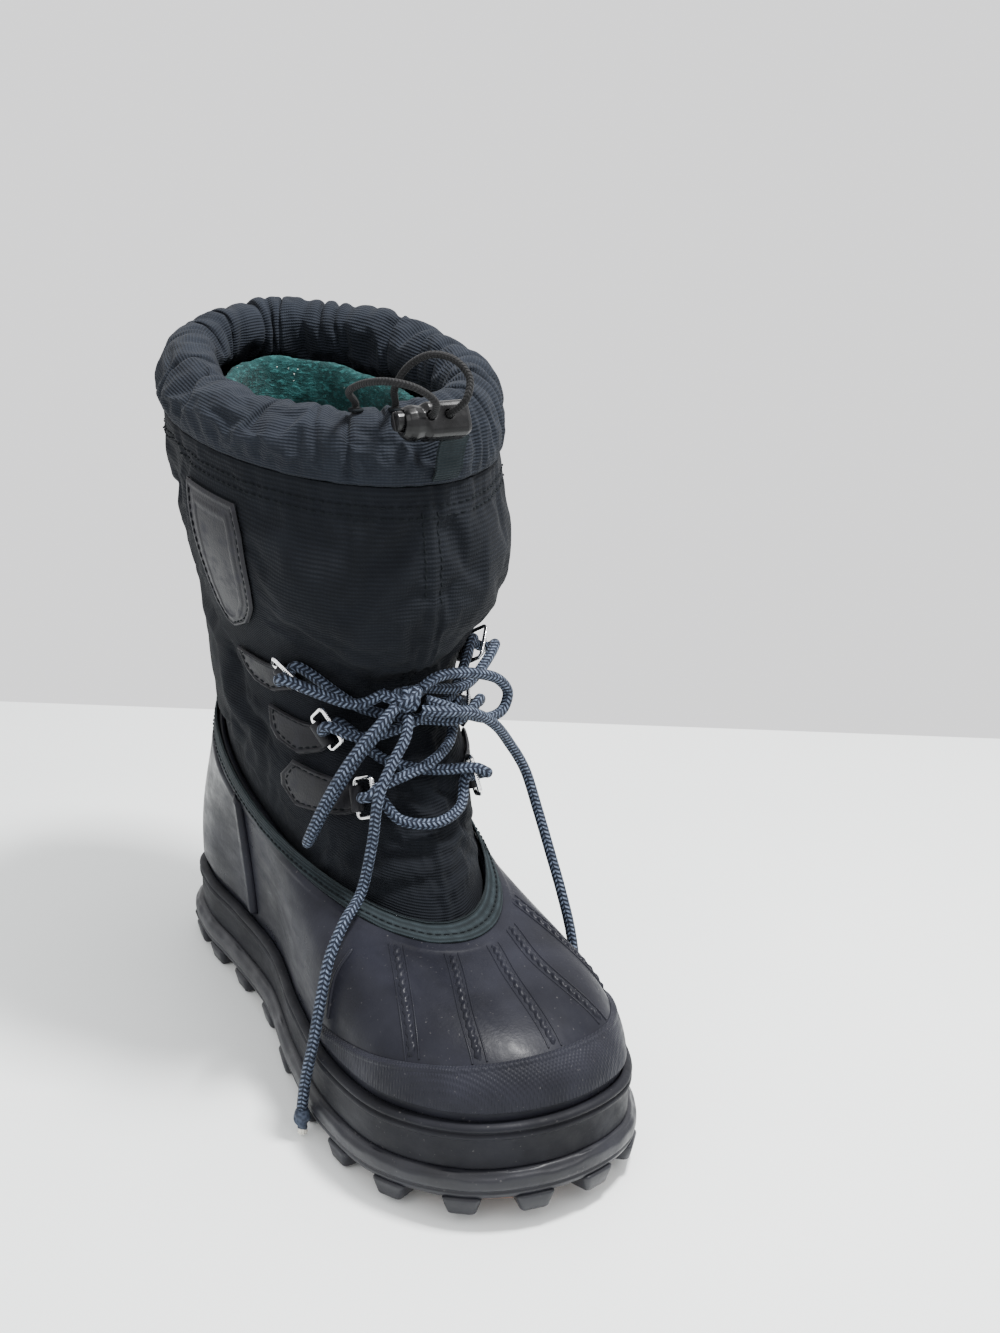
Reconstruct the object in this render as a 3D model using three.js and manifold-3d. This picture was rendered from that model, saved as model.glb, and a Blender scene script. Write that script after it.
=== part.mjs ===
// Winter pac boot for the right foot: rubber galosh, nylon shaft with a gathered snow collar,
// felt inner boot and a lace run through wire rings. Millimetres, +Z up, toe along -Y, outer side -X.
import * as THREE from "three";
import { mergeVertices } from "three/addons/utils/BufferGeometryUtils.js";
import Module from "manifold-3d";

const wasm = await Module();
wasm.setup();

// ---- Fits ----
const GAP = 0.3; // between pieces that touch
const SKIN_GAP = 0.5; // under a skin on a curved face, which is faceted
const HEM_GAP = 0.9; // between the shaft's hem and the rubber it is sewn inside
const AROUND = 36; // steps round the boot

// ---- Sole ----
const SOLE_LENGTH = 325;
const HEEL_WIDTH = 95;
const WAIST_WIDTH = 92;
const BALL_WIDTH = 128;
const TOE_SPRING = 7; // lift of the toe above the ground
const SPRING_START = 215; // from the heel's back
const LUG_HEIGHT = 8;
const LUG_COUNT = 26;
const LUG_LENGTH = 15;
const LUG_DEPTH = 14;
const OUTSOLE_HEIGHT = 12;
const TREAD_THICKNESS = 4.4;
const TREAD_INSET = 8;
const BAR_PITCH = 27;
const BAR_WIDTH = 13;

// ---- Galosh ----
const SHELL_WALL = 3;
const BAND_INSET = 4; // band's face, in from the outsole's edge
const BAND_THICKNESS = 3;
const BAND_HEIGHT = 20;
const TOPLINE_BACK = 9; // from the heel's back
const TOPLINE_FRONT = 228;
const TOPLINE_WIDTH = 94;
const TOPLINE_BACK_Z = 134;
const TOPLINE_FRONT_Z = 84;
const OVERLAY_THICKNESS = 1.4;
const TAPE_THICKNESS = 1.4;
const TAPE_STANDS = 2; // tape's top edge above the rubber

// ---- Inside the galosh ----
const BOARD_THICKNESS = 3;
const SHANK_LENGTH = 110;
const SHANK_WIDTH = 15;
const SHANK_THICKNESS = 1.2;
const SHANK_START = 75; // from the heel's back
const FELT_INSOLE_THICKNESS = 5;
const LINER_WALL = 7;
const LINER_EASE = 1.1; // liner to what is round it

// ---- Shaft and collar ----
const FABRIC = 2.2;
const SEAM_BACK_Z = 296;
const SEAM_FRONT_Z = 272;
const SEAM_SLIT = 0.3; // between the two side panels
const COLLAR_HEIGHT = 34; // on the inner side of the leg
const COLLAR_OUTER_HEIGHT = 25; // on the outer side, where it slumps
const COLLAR_DEPTH = 24;
const LINER_BELOW_RIM = 26;


// ---- Lace tabs, rings and lace ----
const TAB_GAP = 0.6; // under the tabs and the side patch
const TAB_THICKNESS = 1.8;
const TAB_SHOULDER = 25; // widest across
const TAB_FRONT = 12.6;
const TAB_POINT = 7; // how far the back comes to a point
const FOLD_LENGTH = 11.6; // tab's tube round the ring
const FOLD_RADIUS = 3;
const FOLD_HEIGHT = 4; // its middle above the fabric
const WIRE_RADIUS = 1.1;
const WIRE_EASE = 0.4;
const RING_WIDTH = 17;
const RING_DEPTH = 11;
const RING_TILT = 30; // degrees, out from the fabric
const LACE_RADIUS = 2.4;
const LACE_TURN = 5.2; // lace's middle to the middle of the ring's bar
// Each ring's bar by its lower and upper end on the shaft (turn, level); the tab's reach behind it and
// how far the tab leans along it.
const TAB_SITES = [
  { low: [0.407, 0.345], high: [0.4145, 0.421], reach: 28, lean: -4 },
  { low: [0.3995, 0.461], high: [0.381, 0.524], reach: 17, lean: -11 },
  { low: [0.38, 0.595], high: [0.3455, 0.649], reach: 17, lean: -14 },
];
const KNOT = [-8, -36, 180];
const KNOT_LEFT = new THREE.Vector3(-17, -32, 182.5); // where the lace goes into the knot
const KNOT_RIGHT = new THREE.Vector3(1.5, -31, 182);
const PATCH = { turn: 0.289, halfWidth: 0.035, top: 0.942, bottom: 0.68 };
const PATCH_THICKNESS = 1.4;

// ---- Cord lock and drawcord ----
const LOCK_PLACE = [-5, -52, 302];
const LOCK_TILT = 24; // degrees, leaning back
const LOCK_LEFT = -14.5;
const LOCK_RIGHT = 13.5;
const PLUNGER_RADIUS = 4;
const PLUNGER_END = 7;
const PLUNGER_STANDS = 2.5; // out of the body at rest
const PLUNGER_TRAVEL = 2.5;
const BORE_END = 11.5;
const SPRING_WIRE = 0.45;
const SPRING_RADIUS = 2.9;
const SPRING_TURNS = 3;
const DRAWCORD_RADIUS = 1.5;
const CORD_HOLES = 8; // between the two
const CORD_EASE = 0.4;
const EYELET_LATERAL = 0.43; // turns round the collar
const EYELET_MEDIAL = 0.473;
const EYELET_DEPTH = 10;

const HEEL_Y = SOLE_LENGTH / 2;
const SHELL_BASE_Z = LUG_HEIGHT + OUTSOLE_HEIGHT + GAP;
const BAND_TOP_Z = SHELL_BASE_Z + BAND_HEIGHT;
const SHELL_INSET = BAND_INSET + BAND_THICKNESS + GAP;

// ---- Small geometry kit ----
const vec = (x, y, z) => new THREE.Vector3(x, y, z);
const mix = (a, b, share) => a + (b - a) * share;
const wrap = (turn) => turn - Math.floor(turn);
const range = (count) => Array.from({ length: count }, (_, i) => i);

function volumeOf(points, faces) {
  let total = 0;
  for (const [a, b, c] of faces) total += points[a].dot(points[b].clone().cross(points[c]));
  return total / 6;
}

// A closed body from points and triangles, turned to face out.
function body(points, faces) {
  const flip = volumeOf(points, faces) < 0;
  const geometry = new THREE.BufferGeometry();
  const flat = new Float32Array(points.flatMap((p) => [p.x, p.y, p.z]));
  geometry.setAttribute("position", new THREE.BufferAttribute(flat, 3));
  geometry.setIndex(faces.flatMap(([a, b, c]) => (flip ? [a, c, b] : [a, b, c])));
  return geometry;
}

// Joins rings of equal length into a skin: capped at both ends, or closed on itself.
function loft(rings, closed = false) {
  const size = rings[0].length;
  const points = rings.flat();
  const faces = [];
  const spans = closed ? rings.length : rings.length - 1;
  for (const r of range(spans)) {
    const low = r * size;
    const high = ((r + 1) % rings.length) * size;
    for (const i of range(size)) {
      const j = (i + 1) % size;
      faces.push([low + i, low + j, high + j], [low + i, high + j, high + i]);
    }
  }
  if (!closed) {
    capRing(faces, 0, size, true);
    capRing(faces, points.length - size, size, false);
  }
  return body(points, faces);
}

// Closes a ring with strips from side to side, so that caps of neighbouring pieces bend alike.
function capRing(faces, start, size, flip) {
  const tri = (a, b, c) => faces.push(flip ? [start + a, start + c, start + b] : [start + a, start + b, start + c]);
  tri(0, 1, size - 1);
  for (let i = 1; i < size / 2 - 1; i += 1) {
    tri(i, i + 1, size - i);
    tri(i + 1, size - i - 1, size - i);
  }
  if (size > 3) tri(size / 2 - 1, size / 2, size / 2 + 1);
}

// A plate between two grids of points of the same size, closed round its edge.
function plate(outer, inner) {
  const rows = outer.length;
  const columns = outer[0].length;
  const points = [...outer.flat(), ...inner.flat()];
  const back = rows * columns;
  const faces = [];
  for (const r of range(rows - 1)) {
    for (const c of range(columns - 1)) {
      const a = r * columns + c;
      const quad = [a, a + 1, a + 1 + columns, a + columns];
      faces.push([quad[0], quad[1], quad[2]], [quad[0], quad[2], quad[3]]);
      const under = quad.map((k) => k + back);
      faces.push([under[0], under[2], under[1]], [under[0], under[3], under[2]]);
    }
  }
  const rim = [];
  for (const c of range(columns - 1)) rim.push(c);
  for (const r of range(rows - 1)) rim.push(r * columns + columns - 1);
  for (const c of range(columns - 1)) rim.push((rows - 1) * columns + columns - 1 - c);
  for (const r of range(rows - 1)) rim.push((rows - 1 - r) * columns);
  rim.forEach((a, i) => {
    const b = rim[(i + 1) % rim.length];
    faces.push([a, a + back, b + back], [a, b + back, b]);
  });
  return body(points, faces);
}

function toSolid(geometry) {
  const bare = geometry.clone();
  for (const name of ["normal", "uv"]) bare.deleteAttribute(name);
  const merged = mergeVertices(bare, 1e-4);
  const vertProperties = new Float32Array(merged.attributes.position.array);
  const triVerts = new Uint32Array(merged.index.array);
  return new wasm.Manifold(new wasm.Mesh({ numProp: 3, vertProperties, triVerts }));
}

function toGeometry(solid) {
  const mesh = solid.getMesh();
  const geometry = new THREE.BufferGeometry();
  geometry.setAttribute("position", new THREE.BufferAttribute(mesh.vertProperties, 3));
  geometry.setIndex(new THREE.BufferAttribute(mesh.triVerts, 1));
  return geometry;
}

// A ring of points round a place, square to a direction.
function ringAt(place, direction, side, radius, count = 8) {
  const along = direction.clone().normalize();
  const across = side.clone().addScaledVector(along, -side.dot(along)).normalize();
  const other = along.clone().cross(across);
  return range(count).map((i) => {
    const angle = 2 * Math.PI * (i + 0.5) / count;
    const p = place.clone().addScaledVector(across, radius * Math.cos(angle));
    return p.addScaledVector(other, radius * Math.sin(angle));
  });
}

function rod(from, to, radius, count = 10) {
  const along = to.clone().sub(from);
  const side = Math.abs(along.z) > 0.8 * along.length() ? vec(1, 0, 0) : vec(0, 0, 1);
  return loft([from, to].map((p) => ringAt(p, along, side, radius, count)));
}

// A tube through stations along a smooth curve; each section is carried on from the last without twist.
function tube(points, radius, steps, count = 8, closed = false) {
  const curve = new THREE.CatmullRomCurve3(points, closed);
  const places = steps ? curve.getSpacedPoints(steps) : points;
  if (closed) places.pop();
  const last = places.length - 1;
  const at = (i) => (closed ? places.at(i % places.length) : places[Math.min(last, Math.max(0, i))]);
  let side = vec(0.31, 0.2, 0.93);
  return loft(places.map((place, i) => {
    const along = at(i + 1).clone().sub(at(i)).normalize().add(at(i).clone().sub(at(i - 1)).normalize());
    const section = ringAt(place, along, side, radius, count);
    side = section[0].clone().add(section[count - 1]).multiplyScalar(0.5).sub(place);
    return section;
  }), closed);
}

const joined = (geometries) => geometries.map(toSolid).reduce((sum, s) => sum.add(s));

// ---- Sole outline, from the heel's back round the outer side to the toe and home ----
const distance = (fromHeel) => HEEL_Y - fromHeel;
const outerSide = [
  [0.012, 0.42 * HEEL_WIDTH * 0.5], [0.062, 0.87 * HEEL_WIDTH * 0.5], [0.154, 1.03 * HEEL_WIDTH * 0.5],
  [0.27, 1.06 * WAIST_WIDTH * 0.5], [0.415, 1.1 * WAIST_WIDTH * 0.5], [0.57, 0.96 * BALL_WIDTH * 0.5],
  [0.723, 1.06 * BALL_WIDTH * 0.5], [0.861, 0.97 * BALL_WIDTH * 0.5], [0.965, 0.58 * BALL_WIDTH * 0.5],
];
const innerSide = [
  [0.012, 0.4 * HEEL_WIDTH * 0.5], [0.062, 0.82 * HEEL_WIDTH * 0.5], [0.154, 0.97 * HEEL_WIDTH * 0.5],
  [0.27, 0.96 * WAIST_WIDTH * 0.5], [0.415, 0.98 * WAIST_WIDTH * 0.5], [0.57, 0.84 * BALL_WIDTH * 0.5],
  [0.723, 0.94 * BALL_WIDTH * 0.5], [0.861, 0.9 * BALL_WIDTH * 0.5], [0.965, 0.58 * BALL_WIDTH * 0.5],
];
const soleCurve = new THREE.CatmullRomCurve3([
  vec(0, HEEL_Y, 0),
  ...outerSide.map(([share, x]) => vec(-x, distance(share * SOLE_LENGTH), 0)),
  vec(0, -HEEL_Y, 0),
  ...innerSide.map(([share, x]) => vec(x, distance(share * SOLE_LENGTH), 0)).reverse(),
], true);

// Everything in front of the ball rises with the toe.
function springAt(y) {
  const forward = Math.max(0, HEEL_Y - y - SPRING_START) / (SOLE_LENGTH - SPRING_START);
  return TOE_SPRING * forward * forward;
}

function planPoint(turn, inset, z) {
  const here = soleCurve.getPoint(wrap(turn));
  const ahead = soleCurve.getPoint(wrap(turn + 0.002));
  ahead.sub(soleCurve.getPoint(wrap(turn - 0.002))).normalize();
  const y = here.y + inset * ahead.x;
  return vec(here.x - inset * ahead.y, y, z + springAt(y));
}

const turns = range(AROUND).map((i) => i / AROUND);
const planRing = (inset, z) => turns.map((turn) => planPoint(turn, inset, z));

function sprung(geometry) {
  const position = geometry.attributes.position;
  for (const i of range(position.count)) {
    position.setZ(i, position.getZ(i) + springAt(position.getY(i)));
  }
  return geometry;
}

// ---- Surfaces ----
function oval({ back, front, width, zBack, zFront }, turn) {
  const angle = 2 * Math.PI * turn;
  const share = (1 - Math.cos(angle)) / 2;
  return vec(-width / 2 * Math.sin(angle), distance(mix(back, front, share)), mix(zBack, zFront, share));
}

const topline = {
  back: TOPLINE_BACK, front: TOPLINE_FRONT, width: TOPLINE_WIDTH,
  zBack: TOPLINE_BACK_Z, zFront: TOPLINE_FRONT_Z,
};

// The galosh's outer face: level 0 at the band's top, 1 at the topline.
function shellFace(turn, level) {
  const foot = planPoint(turn, SHELL_INSET, BAND_TOP_Z);
  const rim = oval(topline, wrap(turn));
  const across = vec(foot.x - rim.x, foot.y - rim.y, 0);
  const rise = rim.z - foot.z;
  const flatness = across.length() / (across.length() + rise);
  const low = planPoint(turn, SHELL_INSET - 2, BAND_TOP_Z);
  low.z += rise * (0.38 + 0.5 * flatness);
  const high = rim.clone().addScaledVector(across, 0.42);
  high.z -= rise * 0.45 * (1 - flatness);
  return new THREE.CubicBezierCurve3(foot, low, high, rim).getPoint(level);
}

// A point moved out from a face along its normal.
function raised(face, turn, level, height) {
  const step = 0.004;
  const low = Math.max(0, level - step);
  const high = Math.min(1, level + step);
  const along = face(turn + step, level).sub(face(turn - step, level));
  const up = face(turn, high).sub(face(turn, low));
  const out = along.cross(up).normalize();
  return face(turn, level).addScaledVector(out, height);
}

// Shaft stations: share of the height from the topline to the collar seam, distances of the back and
// front from the heel's back, and width.
const shaftStations = [
  [0.1, 14, TOPLINE_FRONT - 11, TOPLINE_WIDTH - 3],
  [0.24, 18, TOPLINE_FRONT - 24, TOPLINE_WIDTH + 2],
  [0.38, 23, TOPLINE_FRONT - 42, TOPLINE_WIDTH + 6],
  [0.5, 26, TOPLINE_FRONT - 45, TOPLINE_WIDTH + 16],
  [0.62, 24, TOPLINE_FRONT - 30, TOPLINE_WIDTH + 28],
  [0.78, 16, TOPLINE_FRONT - 21, TOPLINE_WIDTH + 42],
  [1, 10, TOPLINE_FRONT - 26, TOPLINE_WIDTH + 46],
].map(([share, back, front, width]) => ({
  back, front, width,
  zBack: mix(TOPLINE_BACK_Z, SEAM_BACK_Z, share),
  zFront: mix(TOPLINE_FRONT_Z, SEAM_FRONT_Z, share),
}));
const HEM_LEVEL = 0.9; // on the galosh's face, where the shaft's hem is sewn inside it

const columns = new Map();
function shaftColumn(turn) {
  const key = wrap(turn).toFixed(6);
  if (!columns.has(key)) {
    const inside = -(SHELL_WALL + HEM_GAP);
    columns.set(key, new THREE.CatmullRomCurve3([
      raised(shellFace, turn, HEM_LEVEL, inside),
      raised(shellFace, turn, 1, inside),
      ...shaftStations.map((station) => oval(station, wrap(turn))),
    ]));
  }
  return columns.get(key);
}
const shaftFace = (turn, level) => shaftColumn(turn).getPoint(level);
const SHAFT_SPANS = shaftStations.length + 1;
const RIM_LEVEL = 1 / SHAFT_SPANS; // shaft level with the galosh's topline

// ---- Sole pieces ----
function lugBlock(turn, grow) {
  const levels = [[0 - grow, 0.7], [LUG_HEIGHT * 0.5, 0.92], [LUG_HEIGHT + 1, 1.1]];
  const rings = levels.map(([z, share]) => {
    const middle = planPoint(turn, 0, 0);
    const inward = planPoint(turn, 1, 0).sub(middle).setZ(0);
    const along = vec(-inward.y, inward.x, 0);
    const half = LUG_LENGTH / 2 * share + grow;
    const near = (1 - share) * 5 - grow;
    const far = LUG_DEPTH * mix(1, share, 0.3) + grow;
    return [[-half, near], [half, near], [half, far], [-half, far]].map(([a, d]) => {
      const p = middle.clone().addScaledVector(along, a).addScaledVector(inward, d);
      return p.setZ(z + springAt(p.y));
    });
  });
  return loft(rings);
}

const lugTurns = range(LUG_COUNT).map((i) => (i + 0.5) / LUG_COUNT);

function outsole() {
  const edge = [
    [2.5, LUG_HEIGHT], [0.4, LUG_HEIGHT + 2], [0.9, LUG_HEIGHT + 3.4], [0, LUG_HEIGHT + 5],
    [0, LUG_HEIGHT + 9], [1.4, LUG_HEIGHT + OUTSOLE_HEIGHT],
  ];
  const slab = loft(edge.map(([inset, z]) => planRing(inset, z)));
  return toGeometry(joined([slab, ...lugTurns.map((turn) => lugBlock(turn, 0))]));
}

function treadPlate() {
  const top = LUG_HEIGHT - GAP;
  const bottom = top - TREAD_THICKNESS;
  let solid = toSolid(loft([planRing(TREAD_INSET, bottom), planRing(TREAD_INSET, top)]));
  const core = toSolid(loft([planRing(LUG_DEPTH + 3, 0), planRing(LUG_DEPTH + 3, bottom + 1)]));
  const reach = Math.floor((HEEL_Y - 25) / BAR_PITCH);
  for (const k of range(2 * reach + 1)) {
    const middle = (k - reach) * BAR_PITCH;
    const chevron = new THREE.Shape();
    const half = BALL_WIDTH / 2;
    const lead = 9;
    chevron.moveTo(-half, middle - BAR_WIDTH / 2 + lead);
    chevron.lineTo(0, middle - BAR_WIDTH / 2);
    chevron.lineTo(half, middle - BAR_WIDTH / 2 + lead);
    chevron.lineTo(half, middle + BAR_WIDTH / 2 + lead);
    chevron.lineTo(0, middle + BAR_WIDTH / 2);
    chevron.lineTo(-half, middle + BAR_WIDTH / 2 + lead);
    const bar = new THREE.ExtrudeGeometry(chevron, { depth: bottom + 1, bevelEnabled: false });
    solid = solid.add(toSolid(sprung(bar)).intersect(core));
  }
  for (const turn of lugTurns) solid = solid.subtract(toSolid(lugBlock(turn, GAP)));
  return toGeometry(solid);
}

function foxingBand() {
  const foot = SHELL_INSET - GAP;
  const face = BAND_INSET;
  const rows = [
    [foot, SHELL_BASE_Z], [face, SHELL_BASE_Z], [face, BAND_TOP_Z - 7], [face - 1, BAND_TOP_Z - 6],
    [face - 1, BAND_TOP_Z - 4.6], [face, BAND_TOP_Z - 3.8], [face - 1, BAND_TOP_Z - 2.8],
    [face - 1, BAND_TOP_Z - 1.2], [face + 0.6, BAND_TOP_Z], [foot, BAND_TOP_Z],
  ];
  return loft(rows.map(([inset, z]) => planRing(inset, z)), true);
}

// ---- Galosh ----
const shellLevels = [0.12, 0.26, 0.4, 0.54, 0.68, 0.8, 0.9, 1];

function rubberShell() {
  const outside = [
    planRing(SHELL_INSET, SHELL_BASE_Z),
    planRing(SHELL_INSET, BAND_TOP_Z),
    ...shellLevels.map((level) => turns.map((turn) => shellFace(turn, level))),
  ];
  const inside = [
    planRing(SHELL_INSET + SHELL_WALL, SHELL_BASE_Z + SHELL_WALL),
    planRing(SHELL_INSET + SHELL_WALL, BAND_TOP_Z),
    ...shellLevels.map((level) => turns.map((turn) => raised(shellFace, turn, level, -SHELL_WALL))),
  ];
  return loft([...outside, ...inside.reverse()]);
}

// A skin on the galosh between two columns of its facets, so that both bend along the same lines.
function shellOverlay(columnFrom, columnTo, levelTop, rows, edgeRib = 0) {
  const steps = columnTo - columnFrom;
  const grid = (height, rib) => range(rows + 1).map((r) => range(steps + 1).map((c) => {
    const turn = (columnFrom + c) / AROUND;
    const edge = c <= 1 || c >= steps - 1 ? rib : 0;
    return raised(shellFace, turn, mix(0.05, levelTop(c / steps), r / rows), height + edge);
  }));
  return plate(grid(SKIN_GAP + OVERLAY_THICKNESS, edgeRib), grid(SKIN_GAP, 0));
}

const TOE_CAP_COLUMNS = 6; // to each side of the middle
const HEEL_COUNTER_COLUMNS = 8;
const toeCap = () => shellOverlay(
  AROUND / 2 - TOE_CAP_COLUMNS, AROUND / 2 + TOE_CAP_COLUMNS,
  (share) => 0.1 + 0.2 * Math.sin(Math.PI * share), 3,
);
const heelCounter = () => shellOverlay(-HEEL_COUNTER_COLUMNS, HEEL_COUNTER_COLUMNS, () => 0.86, 6, 1.6);

function shellBinding() {
  const out = [0.9, 1]; // rows of the galosh itself
  const rowAt = (level, height, lift = 0) => turns.map((turn) => {
    const p = raised(shellFace, turn, level, height);
    return p.setZ(p.z + lift);
  });
  const thick = SKIN_GAP + TAPE_THICKNESS;
  return loft([
    ...out.map((level) => rowAt(level, SKIN_GAP)),
    rowAt(1, SKIN_GAP, TAPE_STANDS),
    rowAt(1, thick, TAPE_STANDS),
    ...out.map((level) => rowAt(level, thick)).reverse(),
  ], true);
}

function insoleBoard() {
  const low = SHELL_BASE_Z + SHELL_WALL + GAP;
  const inset = SHELL_INSET + SHELL_WALL + GAP;
  const solid = toSolid(loft([planRing(inset, low), planRing(inset, low + BOARD_THICKNESS)]));
  return toGeometry(solid.subtract(toSolid(shankBlock(GAP, 1))));
}

function shankBlock(grow, below = 0) {
  const low = SHELL_BASE_Z + SHELL_WALL + GAP;
  const height = SHANK_THICKNESS + grow + below;
  const block = new THREE.BoxGeometry(SHANK_WIDTH + 2 * grow, SHANK_LENGTH + 2 * grow, height);
  block.translate(0, distance(SHANK_START + SHANK_LENGTH / 2), low - below + height / 2);
  return block;
}

function feltInsole() {
  const low = SHELL_BASE_Z + SHELL_WALL + BOARD_THICKNESS + 2 * GAP;
  const inset = SHELL_INSET + SHELL_WALL + LINER_EASE;
  return loft([planRing(inset, low), planRing(inset, low + FELT_INSOLE_THICKNESS)]);
}

// ---- Shaft ----
const shaftRows = [0, RIM_LEVEL, ...range(14).map((i) => mix(RIM_LEVEL, 1, (i + 1) / 14))];

function shaftPanel(turnFrom, turnTo) {
  const steps = AROUND / 2;
  const slit = SEAM_SLIT / 2 / (TOPLINE_WIDTH * Math.PI);
  const grid = (height) => shaftRows.map((level) => range(steps + 1).map((c) => (
    raised(shaftFace, mix(turnFrom + slit, turnTo - slit, c / steps), level, height)
  )));
  return plate(grid(0), grid(-FABRIC));
}

// ---- Collar: a padded tunnel on top of the shaft ----
const collarSection = [
  [0.4, 0], [-2.6, 7], [-3.6, 15], [-1.6, 24], [3.6, 31], [10.5, COLLAR_HEIGHT],
  [17.5, 31.5], [22, 25], [COLLAR_DEPTH - 0.6, 17], [21.5, 9], [15, 3], [7, 0],
];

function collarPoint(turn, inset, height) {
  const seam = shaftFace(turn, 1);
  const step = 0.004;
  const along = shaftFace(turn + step, 1).sub(shaftFace(turn - step, 1)).setZ(0).normalize();
  const slump = mix(1, COLLAR_OUTER_HEIGHT / COLLAR_HEIGHT, (1 + Math.sin(2 * Math.PI * turn)) / 2);
  return vec(seam.x - inset * along.y, seam.y + inset * along.x, seam.z + SKIN_GAP + height * slump);
}

function snowCollar() {
  let solid = toSolid(loft(collarSection.map(([inset, height]) => (
    turns.map((turn) => collarPoint(turn, inset, height))
  )), true));
  for (const turn of [EYELET_LATERAL, EYELET_MEDIAL]) {
    const { top, bottom } = eyelet(turn);
    const above = top.clone().sub(bottom).setLength(4).add(top);
    solid = solid.subtract(toSolid(rod(above, bottom, DRAWCORD_RADIUS + CORD_EASE)));
  }
  return toGeometry(solid);
}

// The way of the drawcord into the collar, from its crest down.
function eyelet(turn) {
  const top = collarPoint(turn, 10.5, COLLAR_HEIGHT);
  return { top, bottom: top.clone().setZ(top.z - EYELET_DEPTH) };
}

// ---- Lace tabs and rings: the inner side's are the outer side's mirrored on its own face ----
function tabFrame({ low, high }, side) {
  const onSide = ([turn, level]) => [side < 0 ? turn : 1 - turn, level];
  const [turn, level] = onSide([(low[0] + high[0]) / 2, (low[1] + high[1]) / 2]);
  const middle = shaftFace(turn, level);
  const along = shaftFace(...onSide(low)).sub(shaftFace(...onSide(high))).normalize();
  const out = raised(shaftFace, turn, level, 1).sub(middle);
  along.addScaledVector(out, -along.dot(out)).normalize();
  const ahead = out.clone().cross(along);
  if (ahead.y > 0) ahead.negate();
  const step = 0.004;
  const perTurn = shaftFace(turn + step, level).sub(shaftFace(turn - step, level)).divideScalar(2 * step);
  const perLevel = shaftFace(turn, level + step).sub(shaftFace(turn, level - step)).divideScalar(2 * step);
  const bar = middle.clone().addScaledVector(out, FOLD_HEIGHT);
  return { turn, level, middle, along, ahead, out, perTurn, perLevel, bar };
}

// A point on the shaft at a distance along and ahead of a tab's middle, raised off the fabric.
function besideTab(frame, a, b, height) {
  const { perTurn, perLevel } = frame;
  const move = frame.along.clone().multiplyScalar(a).addScaledVector(frame.ahead, b);
  const tt = perTurn.dot(perTurn);
  const tl = perTurn.dot(perLevel);
  const ll = perLevel.dot(perLevel);
  const size = tt * ll - tl * tl;
  const turnBy = (move.dot(perTurn) * ll - move.dot(perLevel) * tl) / size;
  const levelBy = (move.dot(perLevel) * tt - move.dot(perTurn) * tl) / size;
  return raised(shaftFace, frame.turn + turnBy, frame.level + levelBy, height);
}

function laceTab(site, side) {
  const frame = tabFrame(site, side);
  const { reach, lean } = site;
  const outline = [
    [-1.2, 0, TAB_FRONT / 2], [-6, 0.2 * lean, TAB_FRONT / 2 + 1.5], [-(6 + reach) / 2, 0.6 * lean, TAB_SHOULDER * 0.4],
    [-reach, lean, TAB_SHOULDER / 2], [-reach - TAB_POINT, lean, 2.5],
  ];
  const grid = (height) => outline.map(([b, shift, half]) => (
    range(5).map((c) => besideTab(frame, shift + half * (c / 2 - 1), b, height))
  ));
  const end = (half) => frame.bar.clone().addScaledVector(frame.along, half);
  const fold = toSolid(rod(end(-FOLD_LENGTH / 2), end(FOLD_LENGTH / 2), FOLD_RADIUS));
  const bore = toSolid(rod(end(-FOLD_LENGTH), end(FOLD_LENGTH), WIRE_RADIUS + WIRE_EASE));
  const leather = toSolid(plate(grid(TAB_GAP + TAB_THICKNESS), grid(TAB_GAP)));
  return toGeometry(leather.add(fold).subtract(bore));
}

const tiltBy = THREE.MathUtils.degToRad(RING_TILT);
const ringAhead = ({ ahead, out }) => (
  ahead.clone().multiplyScalar(Math.cos(tiltBy)).addScaledVector(out, Math.sin(tiltBy))
);

function laceRing(site, side) {
  const frame = tabFrame(site, side);
  const reach = ringAhead(frame);
  const corner = 2.2;
  const arc = [[0, 1], [0.29, 0.29], [1, 0]].map(([a, b]) => [a * corner, b * corner]);
  const half = RING_WIDTH / 2;
  const path = [
    ...arc.map(([a, b]) => [-half + a, b]).reverse(), ...arc.map(([a, b]) => [-half + a, RING_DEPTH - b]),
    ...arc.map(([a, b]) => [half - a, RING_DEPTH - b]).reverse(), ...arc.map(([a, b]) => [half - a, b]),
  ].map(([a, b]) => frame.bar.clone().addScaledVector(frame.along, a).addScaledVector(reach, b));
  return tube(path, WIRE_RADIUS, 0, 6, true);
}

function sidePatch() {
  const rows = [1, 0.84, 0.68, 0.52, 0.34, 0.16, 0];
  const widths = [0.9, 1, 1, 1, 0.95, 0.7, 0.15];
  const grid = (height) => rows.map((share, r) => range(7).map((c) => raised(
    shaftFace, PATCH.turn + PATCH.halfWidth * widths[r] * (c / 3 - 1),
    mix(PATCH.bottom, PATCH.top, share), height,
  )));
  return plate(grid(TAB_GAP + PATCH_THICKNESS), grid(TAB_GAP));
}

// ---- Lace ----
// Round a ring's bar: 0 is under it, a half turn later it is over it, on the way back to the middle.
function roundBar(frame, turnsRound) {
  const bar = frame.bar.clone().addScaledVector(ringAhead(frame), RING_DEPTH);
  const angle = 2 * Math.PI * turnsRound;
  bar.addScaledVector(frame.ahead, -LACE_TURN * Math.sin(angle));
  return bar.addScaledVector(frame.out, -LACE_TURN * Math.cos(angle));
}

const overFabric = ([turn, level, height]) => raised(shaftFace, turn, level, height);

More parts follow.
